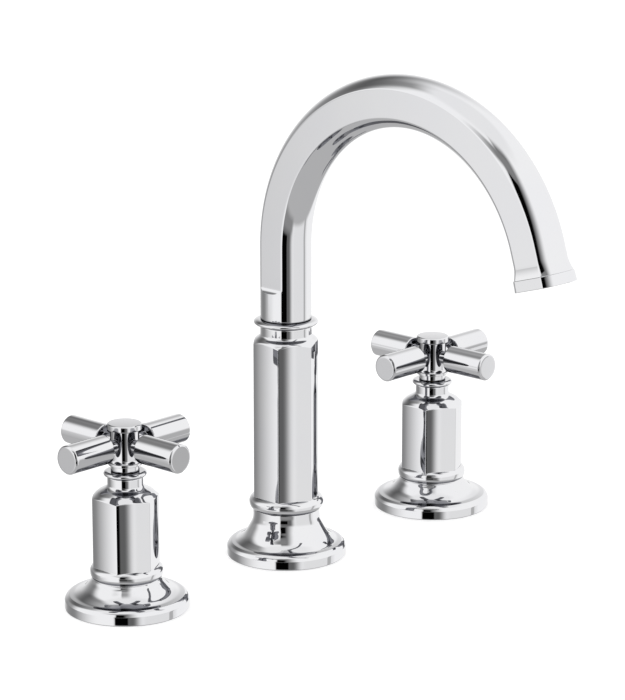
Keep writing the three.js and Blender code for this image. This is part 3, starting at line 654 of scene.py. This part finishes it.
def with_turns(outline, radius, low, high):
    """Puts the rows of a screw thread on the upright stretch of an outline at a radius."""
    inside = (outline[:, 1] > low) & (outline[:, 1] < high)
    on = (np.abs(outline[:, 0] - radius) < SAME_RADIUS) & inside
    start = int(np.argmax(on))
    z = np.arange(low, high, THREAD_PITCH / ROWS_PER_TURN)
    rows = np.stack([np.full(len(z), radius), z], 1)
    return np.vstack([outline[:start], rows, outline[start:][~on[start:]]])


def threaded(outline, sides, stretches):
    """The outline turned about the axis with a screw thread cut into each stretch of it: there the
    radius loses D |2 frac(z / P - t / 360) - 1|, faded over a turn at both ends."""
    for stretch in stretches:
        outline = with_turns(outline, *stretch)
    angle = 2 * np.pi * np.arange(sides) / sides
    r, z = outline[:, :1] + 0 * angle, outline[:, 1:] + 0 * angle
    wave = np.abs(2 * np.mod(z / THREAD_PITCH - angle / (2 * np.pi), 1) - 1)
    cut = np.zeros_like(r)
    for radius, low, high in stretches:
        fade = np.clip((z - low) / THREAD_PITCH, 0, 1) * np.clip((high - z) / THREAD_PITCH, 0, 1)
        cut = cut + np.where(np.abs(r - radius) < SAME_RADIUS, THREAD_DEPTH * wave * fade, 0)
    return around_axis(r - cut, angle, z)


def valve_body():
    """Turned brass body: threaded inlet, boss, threaded shank, barrel and cartridge cavity."""
    inlet_neck, thread_end = INLET_RADIUS - PIPE_BEVEL, BOSS_BASE - 1.6
    outline = softened([
        *stepped(FEED_BORE, INLET_BORE_TOP / 2, INLET_BORE_TOP, INLET_BORE, INLET_BASE,
                 inlet_neck, upright=True),
        [INLET_RADIUS, INLET_BASE + PIPE_BEVEL], [INLET_RADIUS, thread_end],
        [inlet_neck, BOSS_BASE - 1.2], [inlet_neck, BOSS_BASE],
        [BOSS_RADIUS - PIPE_BEVEL, BOSS_BASE], [BOSS_RADIUS, BOSS_BASE + PIPE_BEVEL],
        [BOSS_RADIUS, THREAD_BASE - PIPE_BEVEL], [BOSS_RADIUS - PIPE_BEVEL, THREAD_BASE],
        *stepped(SHANK_RADIUS, THREAD_BASE, SHANK_TOP, BARREL_RADIUS, BARREL_STEP, BARREL_NECK,
                 BARREL_TOP, CAVITY_RADIUS, SEAT_HEIGHT, FEED_BORE, upright=True),
    ], FINE_EDGE, 240, ring=True)
    inlet = (INLET_RADIUS, INLET_BASE + PIPE_BEVEL, thread_end)
    shank = (SHANK_RADIUS, THREAD_BASE + FIT, -FIT)
    return threaded(outline, THREAD_SIDES, [inlet, shank])


def outlet_nipple():
    """Threaded side outlet along its own axis, from inside the boss to its open end."""
    stretch = (OUTLET_RADIUS, BOSS_RADIUS + 1.5, OUTLET_REACH - PIPE_BEVEL)
    outline = softened([
        [OUTLET_BORE, OUTLET_REACH - 2], [OUTLET_BORE, OUTLET_START],
        [OUTLET_RADIUS, OUTLET_START], [OUTLET_RADIUS, OUTLET_REACH - PIPE_BEVEL],
        [OUTLET_RADIUS - PIPE_BEVEL, OUTLET_REACH],
        [OUTLET_BORE + PIPE_BEVEL, OUTLET_REACH], [OUTLET_BORE, OUTLET_REACH - PIPE_BEVEL],
    ], FINE_EDGE, 90, ring=True)
    return threaded(outline, NIPPLE_SIDES, [stretch])


def spout_shank():
    """Threaded tube from the column down through the deck."""
    stretch = (SPOUT_SHANK_RADIUS, BOSS_BASE + PIPE_BEVEL, -FIT)
    outline = softened([
        [SPOUT_SHANK_BORE, 0], [SPOUT_SHANK_BORE, BOSS_BASE + PIPE_BEVEL],
        [SPOUT_SHANK_BORE + PIPE_BEVEL, BOSS_BASE], [SPOUT_SHANK_RADIUS - PIPE_BEVEL, BOSS_BASE],
        [SPOUT_SHANK_RADIUS, BOSS_BASE + PIPE_BEVEL],
        [SPOUT_SHANK_RADIUS, SPOUT_SHANK_TOP], [SPOUT_SHANK_BORE, SPOUT_SHANK_TOP],
    ], FINE_EDGE, 120, ring=True)
    return threaded(outline, THREAD_SIDES, [stretch])


def flat_ring(outer, bore, base, top, edge):
    """A washer or gasket with eased edges."""
    outline = softened(stepped(bore, base, outer, top, bore), edge, 64, ring=True)
    return turned(outline, WASHER_SIDES)


def hex_nut(corner, bore, base, top):
    """Six-sided nut. The radius is the softened smaller of the flat-sided hexagon, F / cos f, and
    a cone that bevels both ends, 0.97 F + 1.73 d at a depth d."""
    flat = corner * math.cos(math.pi / 6)
    root = flat * NUT_ROOT_SHARE
    angle = hex_angles(NUT_FACE_SIDES)
    hexagon = flat / np.cos(off_face(angle))[None, :]
    share = (1 - np.cos(np.pi * np.linspace(0, 1, 44))) / 2
    z = base + (top - base) * share[:, None]
    cone = 0.97 * flat + 1.73 * np.minimum(z - base, top - z)
    side = soft_minimum(hexagon + 0 * z, cone + 0 * hexagon, NUT_BLEND)
    inner = softened([[root, top], [bore + NUT_BEVEL, top], [bore, top - NUT_BEVEL],
                      [bore, base + NUT_BEVEL], [bore + NUT_BEVEL, base], [root, base]],
                     FINE_EDGE, 60, ring=False)
    return closed_by(side, angle, z + 0 * hexagon, inner)


# Finishes

# The plating: its plain colour, the two tones that it drifts between, and a painted shade: the
# much darker colour that it is given where it is seen in another polished piece, painted onto its
# reflections
CHROME_COLOUR = (0.93, 0.931, 0.950)
CHROME_WARM = (0.936, 0.937, 0.951)
CHROME_COOL = (0.924, 0.926, 0.949)
CHROME_PAINTED_REFLECTION_SHADE = (0.22, 0.223, 0.243)

# Scales of the clouds that vary the tones of the plating, its gloss with the ends of its
# roughness, and its ripple with the strength and depth of the relief
CHROME_DRIFT = 38
CHROME_GLOSS, CHROME_ROUGHNESS = 45, (0.012, 0.04)
CHROME_RIPPLE, CHROME_RELIEF = 130, (0.04, 0.02)
RELIEF_DEPTH = 0.05


def add(tree, kind):
    """One new shader node."""
    return tree.nodes.new("ShaderNode" + kind)


def effect_group(name, inputs, outputs):
    """An empty shared effect with number inputs and outputs, and its two end nodes."""
    group = bpy.data.node_groups.new(name, "ShaderNodeTree")
    for labels, side in ((inputs, "INPUT"), (outputs, "OUTPUT")):
        for label in labels:
            group.interface.new_socket(name=label, in_out=side, socket_type="NodeSocketFloat")
    return group, group.nodes.new("NodeGroupInput"), group.nodes.new("NodeGroupOutput")


def feed(tree, socket, value):
    """Links an output into a socket, or writes a plain value there."""
    if isinstance(value, bpy.types.NodeSocket):
        tree.links.new(value, socket)
    else:
        socket.default_value = value


def sum_node(tree, operation, first, second=0.0, third=0.0):
    """One Math node, and its output."""
    node = add(tree, "Math")
    node.operation = operation
    for socket, value in zip(node.inputs, (first, second, third)):
        feed(tree, socket, value)
    return node.outputs[0]


def span_node(tree, value, before, after, smooth=False):
    """One Map Range node from the pair before to the pair after, and its output."""
    node = add(tree, "MapRange")
    node.interpolation_type = "SMOOTHSTEP" if smooth else "LINEAR"
    labels = ("Value", "From Min", "From Max", "To Min", "To Max")
    for label, number in zip(labels, (value, *before, *after)):
        feed(tree, node.inputs[label], number)
    return node.outputs["Result"]


def noise_node(tree, scale, detail, roughness=0.6, stretch=(1, 1, 1)):
    """Noise on Object coordinates, stretched along the axes, and its output."""
    place, mapping, noise = [add(tree, kind) for kind in ("TexCoord", "Mapping", "TexNoise")]
    mapping.inputs["Scale"].default_value = stretch
    tree.links.new(place.outputs["Object"], mapping.inputs["Vector"])
    tree.links.new(mapping.outputs["Vector"], noise.inputs["Vector"])
    for label, value in (("Scale", scale), ("Detail", detail), ("Roughness", roughness)):
        feed(tree, noise.inputs[label], value)
    return noise.outputs["Fac"]


GRADED_INPUTS = ("Scale", "Low", "High")


def graded(tree, source, drain, value, before, smooth=False):
    """Ends a shared effect: the value spread between its low and its high input."""
    ends = (source.outputs["Low"], source.outputs["High"])
    feed(tree, drain.inputs["Value"], span_node(tree, value, before, ends, smooth))


def cloud_effect():
    """Soft clouds in Object coordinates, spread between a low and a high value."""
    tree, source, drain = effect_group("cloud", GRADED_INPUTS, ["Value"])
    cloud = noise_node(tree, source.outputs["Scale"], 3.0)
    graded(tree, source, drain, cloud, (0.3, 0.7), smooth=True)
    return tree


def lathe_effect():
    """Marks of a lathe tool: fine lines around the upright axis, broken by soft clouds."""
    tree, source, drain = effect_group("lathe_marks", GRADED_INPUTS, ["Value", "Height"])
    lines = noise_node(tree, source.outputs["Scale"], 4.0, 0.7, (1, 1, 60))
    patches = noise_node(tree, 90.0, 2.0)
    mixed = sum_node(tree, "MULTIPLY_ADD", patches, 0.4, sum_node(tree, "MULTIPLY", lines, 0.6))
    graded(tree, source, drain, mixed, (0.35, 0.65))
    feed(tree, drain.inputs["Height"], lines)
    return tree


def grain_effect():
    """Moulded grain: small cells under a finer noise."""
    tree, source, drain = effect_group("moulded_grain", GRADED_INPUTS, ["Value", "Height"])
    place, cells = add(tree, "TexCoord"), add(tree, "TexVoronoi")
    tree.links.new(place.outputs["Object"], cells.inputs["Vector"])
    feed(tree, cells.inputs["Scale"], source.outputs["Scale"])
    finer = sum_node(tree, "MULTIPLY", source.outputs["Scale"], 2.5)
    fine = noise_node(tree, finer, 2.0)
    bowls = sum_node(tree, "MULTIPLY", cells.outputs["Distance"], 0.5)
    height = sum_node(tree, "MULTIPLY_ADD", fine, 0.5, bowls)
    dust = noise_node(tree, 110.0, 4.0)
    graded(tree, source, drain, dust, (0.35, 0.65), smooth=True)
    feed(tree, drain.inputs["Height"], height)
    return tree


CLOUD, LATHE, GRAIN = cloud_effect(), lathe_effect(), grain_effect()


def placed(tree, group, *values):
    """One copy of a shared effect with its own values."""
    node = add(tree, "Group")
    node.node_tree = group
    for socket, value in zip(node.inputs, values):
        socket.default_value = value
    return node


def bumped(tree, shader, height, strength, depth):
    """A Bump node from a height into the shader's normal."""
    bump = add(tree, "Bump")
    bump.inputs["Strength"].default_value = strength
    bump.inputs["Distance"].default_value = depth * METRES
    tree.links.new(height, bump.inputs["Height"])
    tree.links.new(bump.outputs["Normal"], shader.inputs["Normal"])


def new_finish(name, colour, metallic):
    """A material with a Principled shader, ready for its nodes."""
    material = bpy.data.materials.new(name)
    material.use_nodes = True
    shader = material.node_tree.nodes["Principled BSDF"]
    shader.inputs["Base Color"].default_value = (*colour, 1)
    shader.inputs["Metallic"].default_value = metallic
    return material, material.node_tree, shader


def two_tones(tree, shader, mask, first, second):
    """Base colour between two tones by a mask; the first one may be another pair's output. Inputs
    6 and 7 and output 2 of a Mix node are its colours."""
    tones = add(tree, "Mix")
    tones.data_type = "RGBA"
    tree.links.new(mask, tones.inputs["Factor"])
    for socket, tone in zip(tones.inputs[6:8], (first, second)):
        feed(tree, socket, tone if isinstance(tone, bpy.types.NodeSocket) else (*tone, 1))
    tree.links.new(tones.outputs[2], shader.inputs["Base Color"])
    return tones.outputs[2]


def polished_chrome():
    """Mirror plating: tone and gloss vary by faint clouds, and the polishing leaves a ripple of a
    few thousandths of a millimetre that only softens the longest reflections. Where it is seen in
    another polished piece its colour is painted much darker, a painted shade on its reflections."""
    material, tree, shader = new_finish("polished_chrome", CHROME_COLOUR, 1.0)
    path = add(tree, "LightPath")
    drift = placed(tree, CLOUD, CHROME_DRIFT, 0, 1).outputs["Value"]
    first = two_tones(tree, shader, drift, CHROME_WARM, CHROME_COOL)
    # Painted shade: seen in another polished piece, the plating takes a much darker colour
    two_tones(tree, shader, path.outputs["Is Glossy Ray"], first, CHROME_PAINTED_REFLECTION_SHADE)
    gloss = placed(tree, CLOUD, CHROME_GLOSS, *CHROME_ROUGHNESS)
    tree.links.new(gloss.outputs["Value"], shader.inputs["Roughness"])
    ripple = placed(tree, CLOUD, CHROME_RIPPLE, 0, 1)
    bumped(tree, shader, ripple.outputs["Value"], *CHROME_RELIEF)
    return material


def worked(name, metallic, tones, clouds, effect, scale, roughness, relief):
    """A material between two tones, with the marks of a shared effect in gloss and relief."""
    material, tree, shader = new_finish(name, tones[0], metallic)
    marks = placed(tree, effect, scale, *roughness)
    tree.links.new(marks.outputs["Value"], shader.inputs["Roughness"])
    two_tones(tree, shader, placed(tree, CLOUD, clouds, 0, 1).outputs["Value"], *tones)
    bumped(tree, shader, marks.outputs["Height"], relief, RELIEF_DEPTH)
    return material


# Materials by slot. For each one but the plating: metallic share, two tones, scale of the clouds
# between them, its effect and that one's scale, the ends of the roughness, strength of the relief
FINISHES = {
    "chrome": polished_chrome(),
    "brass": worked("turned_brass", 1.0, ((0.80, 0.60, 0.29), (0.70, 0.50, 0.22)), 140,
                    LATHE, 30, (0.2, 0.36), 0.25),
    "steel": worked("zinc_steel", 1.0, ((0.60, 0.61, 0.63), (0.50, 0.51, 0.54)), 140,
                    LATHE, 22, (0.28, 0.45), 0.25),
    "rubber": worked("black_rubber", 0.0, ((0.022, 0.022, 0.024), (0.04, 0.04, 0.042)), 160,
                     GRAIN, 1600, (0.55, 0.8), 0.5),
    "ceramic": worked("ground_ceramic", 0.0, ((0.86, 0.85, 0.81), (0.80, 0.79, 0.75)), 160,
                      GRAIN, 2200, (0.16, 0.3), 0.2),
    "plastic": worked("ivory_plastic", 0.0, ((0.74, 0.73, 0.67), (0.69, 0.67, 0.61)), 160,
                      GRAIN, 1300, (0.35, 0.5), 0.3),
}
CHROME, BRASS, STEEL, RUBBER = [
    (slot, FINISHES[slot]) for slot in ("chrome", "brass", "steel", "rubber")]


# The three units

def dress_valve(prefix):
    """The plated pieces and the body of one valve, and its cross handle."""
    x = UNIT_X[prefix]
    flange = base_flange(SHANK_HOLE, VALVE_WAIST_RADIUS, VALVE_BELL_TOP, VALVE_WAIST)
    bores = stepped(STEM_BORE, SLEEVE_TOP, SLEEVE_HEX_TOP, SLEEVE_CAVITY, VALVE_BEAD_TOP,
                    upright=True)
    collar = collar_ring(COLLAR_ROOT, COLLAR_RADIUS, STEM_BORE, SLEEVE_TOP, COLLAR_TOP)
    surfaces = {
        "base_flange": turned(flange, FLANGE_SIDES),
        "bead_ring": hex_bead(VALVE_NECK_RADIUS, SLEEVE_CORNER, VALVE_BOW, VALVE_BEAD_RADIUS,
                              VALVE_BELL_TOP, VALVE_BEAD_TOP, SLEEVE_CAVITY),
        "body_sleeve": hex_sleeve(SLEEVE_CORNER, VALVE_BOW, VALVE_BEAD_TOP, SLEEVE_HEX_TOP,
                                  SLEEVE_NECK_START, SLEEVE_NECK_RADIUS, SLEEVE_TOP, bores),
        "collar_ring": turned(collar, COLLAR_SIDES),
        "handle_hub": turned(hub_outline(), HUB_SIDES),
    }
    for node, rows in surfaces.items():
        dress(f"{prefix}_{node}", rows, CHROME, x)
    cap = turned(cap_outline(), HUB_SIDES)
    dress(f"{prefix}_handle_cap", cap, CHROME, x, ring=False)
    arm = turned(arm_outline(), ARM_SIDES)
    for quarter, place in enumerate(("right", "back", "left", "front")):
        dress(f"{prefix}_arm_{place}", laid_out(arm, quarter, ARM_HEIGHT), CHROME, x, ring=False)
    dress(f"{prefix}_valve_body", valve_body(), BRASS, x)
    nipple = laid_out(outlet_nipple(), TOWARDS_SPOUT[prefix], (BOSS_BASE + THREAD_BASE) / 2)
    dress(f"{prefix}_valve_body", nipple, BRASS, x, ending="outlet")


def dress_spout():
    """The plated pieces and the shank of the spout."""
    flange = base_flange(SPOUT_SHANK_HOLE, SPOUT_NECK_RADIUS, SPOUT_BELL_TOP, SPOUT_WAIST)
    bores = stepped(COLUMN_BORE, COLUMN_TOP, CLIP_TOP + FIT, CLIP_GROOVE_RADIUS, CLIP_BASE - FIT,
                    COLUMN_BORE, SPOUT_SHANK_TOP + FIT, SPOUT_SHANK_HOLE, SPOUT_BEAD_TOP,
                    upright=True)
    housing = stepped(AERATOR_LIP, AERATOR_RECESS, AERATOR_RADIUS, AERATOR_TOP, AERATOR_INNER,
                      AERATOR_LIP_TOP, AERATOR_LIP)
    housing = softened(housing, FINE_EDGE, 60, ring=True)
    collar = collar_ring(COLUMN_NECK_RADIUS, SPOUT_COLLAR_RADIUS, COLUMN_BORE, COLUMN_TOP,
                         SPOUT_COLLAR_TOP)
    surfaces = {
        "spout_base_flange": turned(flange, FLANGE_SIDES),
        "spout_bead_ring": hex_bead(SPOUT_NECK_RADIUS, COLUMN_CORNER, COLUMN_BOW,
                                    SPOUT_BEAD_RADIUS, SPOUT_FLANGE_TOP, SPOUT_BEAD_TOP,
                                    SPOUT_SHANK_HOLE),
        "spout_column": hex_sleeve(COLUMN_CORNER, COLUMN_BOW, SPOUT_BEAD_TOP, COLUMN_HEX_TOP,
                                   COLUMN_NECK_START, COLUMN_NECK_RADIUS, COLUMN_TOP, bores),
        "spout_collar_ring": turned(collar, SPOUT_COLLAR_SIDES),
        "gooseneck": gooseneck_rows(),
        "aerator_housing": at_outlet(turned(housing, AERATOR_SIDES)),
    }
    for node, rows in surfaces.items():
        dress(node, rows, CHROME)
    dress("spout_shank", spout_shank(), BRASS)


def dress_clamp(prefix):
    """The gasket in the base, and the washers and the nut under the deck."""
    x, (hole, washer, corner) = UNIT_X[prefix], CLAMPS[prefix]
    gasket = flat_ring(GASKET_RADIUS, hole, 0.0, GASKET_THICKNESS, RUBBER_EDGE / 2)
    soft = flat_ring(washer, hole, RUBBER_WASHER_BASE, DECK_UNDERSIDE, RUBBER_EDGE)
    hard = flat_ring(washer, hole, STEEL_WASHER_BASE, RUBBER_WASHER_BASE, SOFT_EDGE)
    nut = hex_nut(corner, hole, NUT_BASE, STEEL_WASHER_BASE)
    dress(f"{prefix}_base_gasket", gasket, RUBBER, x)
    dress(f"{prefix}_rubber_washer", soft, RUBBER, x)
    dress(f"{prefix}_steel_washer", hard, STEEL, x)
    dress(f"{prefix}_mounting_nut", nut, BRASS, x)


for unit in ("hot", "cold"):
    dress_valve(unit)
dress_spout()
for unit in UNIT_X:
    dress_clamp(unit)

# The inner pieces keep their CAD form and get the material of their slot
SLOT_OF = {row["node"]: row["material_slot"] for row in frame["record"]["subparts"]}
for name, node in nodes.items():
    if not node.hide_render:
        node.data.materials.clear()
        node.data.materials.append(FINISHES[SLOT_OF[name]])


# Stage: camera, floor and studio, in metres. The camera aims at a height on the spout's axis,
# moved to the right and up in its own view.
CAMERA_AZIMUTH = math.radians(-47.07)
CAMERA_RISE = math.radians(14.94)
CAMERA_DISTANCE = 1.471
CAMERA_LENS = 167.0
SENSOR_WIDTH = 36
FAR_CLIP = 20
AIM_RIGHT, AIM_UP, AIM_HEIGHT = 0.0120, 0.0011, 0.09516
FLOOR_HALF = 6.0
FLOOR_COLOUR = (0.8, 0.8, 0.8)
FLOOR_ROUGHNESS = 0.9
FLOOR_GLOW = 0.4

# Level of the studio's pale walls, as the plating shows it
WALLS = 0.93

# Cards and shades before the walls: left, right, low and high edge in degrees from the camera's
# side, easing of the left, right and level edges, and the level. Later ones stand before earlier
# ones. The left shade crosses the line where the angle jumps, so it is there twice.
CARDS = {
    "right_wall": (20, 112, -120, 7, 20, 15, 13, 0.86),
    "rear_shade_above": (-180, -96, -120, 120, 45, 26, 1, 0.58),
    "rear_shade": (-155, -50, -120, 7, 35, 72, 13, 0.5),
    "camera_gap_above": (-24, 28, -120, 120, 8, 30, 1, 0.42),
    "camera_gap": (-21, 34, -120, 7, 8, 22, 13, 0.36),
    "side_glow": (-90, -62, -14.8, -4, 8, 6, 1.2, 0.885),
    "grey_strip": (86.5, 97.5, -90, 6, 1.5, 1.5, 12, 0.67),
    "upper_smudge": (-62, 8, 36, 58, 40, 10, 8, 0.49),
    "upper_black_card": (-19.3, 2.5, 5, 39, 0.5, 8, 1.5, 0.0),
    "lower_black_card": (-20.5, 6, -22.5, -8, 1.5, 3, 2.5, 0.0),
    "left_shade": (-215, -108, 4, 62, 60, 22, 30, 0.35),
    "left_shade_again": (145, 252, 4, 62, 60, 22, 30, 0.35),
    "ceiling": (-400, 400, 54, 120, 1, 1, 14, 0.89),
    "ground": (-400, 400, -120, -27, 1, 1, 5, 0.675),
    "ground_edge_shade": (-25, 32, -36, -20.5, 10, 14, 6, 0.52),
}


def place_camera():
    """The camera at the photograph's view, aimed a little beside the spout's axis."""
    a, e = CAMERA_AZIMUTH, CAMERA_RISE
    back = Vector((math.sin(a) * math.cos(e), -math.cos(a) * math.cos(e), math.sin(e)))
    right = Vector((math.cos(a), math.sin(a), 0))
    up = back.cross(right)
    data = bpy.data.cameras.new("camera")
    data.lens = CAMERA_LENS
    data.sensor_width = SENSOR_WIDTH
    data.clip_end = FAR_CLIP
    camera = in_scene("camera", data)
    target = Vector((0, 0, AIM_HEIGHT)) + AIM_RIGHT * right + AIM_UP * up
    turn = Matrix((right, up, back)).transposed().to_4x4()
    camera.matrix_world = Matrix.Translation(target + CAMERA_DISTANCE * back) @ turn
    bpy.context.scene.camera = camera


def lay_floor():
    """A wide pale floor at the deck's height. To the camera it glows a little, so that it looks
    white and keeps its shadow, and the plating doesn't reflect it."""
    corners = [(-1, -1), (1, -1), (1, 1), (-1, 1)]
    mesh = bpy.data.meshes.new("floor")
    mesh.from_pydata([(FLOOR_HALF * x, FLOOR_HALF * y, 0) for x, y in corners], [], [range(4)])
    floor = in_scene("floor", mesh)
    material, tree, shader = new_finish("white_paper", FLOOR_COLOUR, 0.0)
    shader.inputs["Roughness"].default_value = FLOOR_ROUGHNESS
    shader.inputs["Emission Color"].default_value = (1, 1, 1, 1)
    path = add(tree, "LightPath")
    glow = sum_node(tree, "MULTIPLY", path.outputs["Is Camera Ray"], FLOOR_GLOW)
    tree.links.new(glow, shader.inputs["Emission Strength"])
    mesh.materials.append(material)
    floor.visible_glossy = False
    floor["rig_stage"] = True


def lamp_level(shown):
    """The strength that the plating shows as a display level: made linear, over its colour."""
    return ((shown + 0.055) / 1.055) ** 2.4 / CHROME_COLOUR[0]


def card_effect():
    """Mask of a card in the studio: one inside its edges, easing to zero within them."""
    labels = ("Azimuth", "Rise", "Left", "Right", "Low", "High", "Left ease", "Right ease",
              "Level ease")
    tree, source, drain = effect_group("studio_card", labels, ["Mask"])
    at = source.outputs
    mask = 1.0
    for along, edge, ease, sign in (("Azimuth", "Left", "Left ease", 1),
                                    ("Azimuth", "Right", "Right ease", -1),
                                    ("Rise", "Low", "Level ease", 1),
                                    ("Rise", "High", "Level ease", -1)):
        past = sum_node(tree, "SUBTRACT", at[along], at[edge])
        inside = sum_node(tree, "MULTIPLY", past, sign)
        step = span_node(tree, inside, (0.0, at[ease]), (0.0, 1.0), smooth=True)
        mask = sum_node(tree, "MULTIPLY", mask, step)
    feed(tree, drain.inputs["Mask"], mask)
    return tree


def studio_world():
    """White surround for the camera. For the metal a studio of even pale walls, with a dark gap
    behind the camera and cards before the walls, placed by the angle from the camera's side."""
    world = bpy.data.worlds.new("studio")
    bpy.context.scene.world = world
    world.use_nodes = True
    tree = world.node_tree
    tree.nodes.clear()
    place, split = add(tree, "TexCoord"), add(tree, "SeparateXYZ")
    tree.links.new(place.outputs["Generated"], split.inputs[0])
    compass = sum_node(tree, "ARCTAN2", split.outputs["Y"], split.outputs["X"])
    turned_back = sum_node(tree, "SUBTRACT", compass, CAMERA_AZIMUTH - math.pi / 2)
    azimuth = sum_node(tree, "DEGREES", sum_node(tree, "WRAP", turned_back, math.pi, -math.pi))
    rise = sum_node(tree, "DEGREES", sum_node(tree, "ARCSINE", split.outputs["Z"]))
    level, cards = lamp_level(WALLS), card_effect()
    for *edges, shown in CARDS.values():
        card = placed(tree, cards, 0, 0, *edges)
        feed(tree, card.inputs["Azimuth"], azimuth)
        feed(tree, card.inputs["Rise"], rise)
        level = span_node(tree, card.outputs["Mask"], (0.0, 1.0), (level, lamp_level(shown)))
    path = add(tree, "LightPath")
    seen = span_node(tree, path.outputs["Is Glossy Ray"], (0.0, 1.0), (1.0, level))
    glow, drain = add(tree, "Background"), add(tree, "OutputWorld")
    tree.links.new(seen, glow.inputs["Color"])
    tree.links.new(glow.outputs[0], drain.inputs["Surface"])


place_camera()
lay_floor()
studio_world()

# The plating doesn't reflect what hangs under the deck
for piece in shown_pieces():
    foot = min((piece.matrix_world @ Vector(corner)).z for corner in piece.bound_box)
    if foot < -GASKET_THICKNESS * METRES:
        piece.visible_glossy = False

bpy.context.scene.view_settings.view_transform = "Standard"
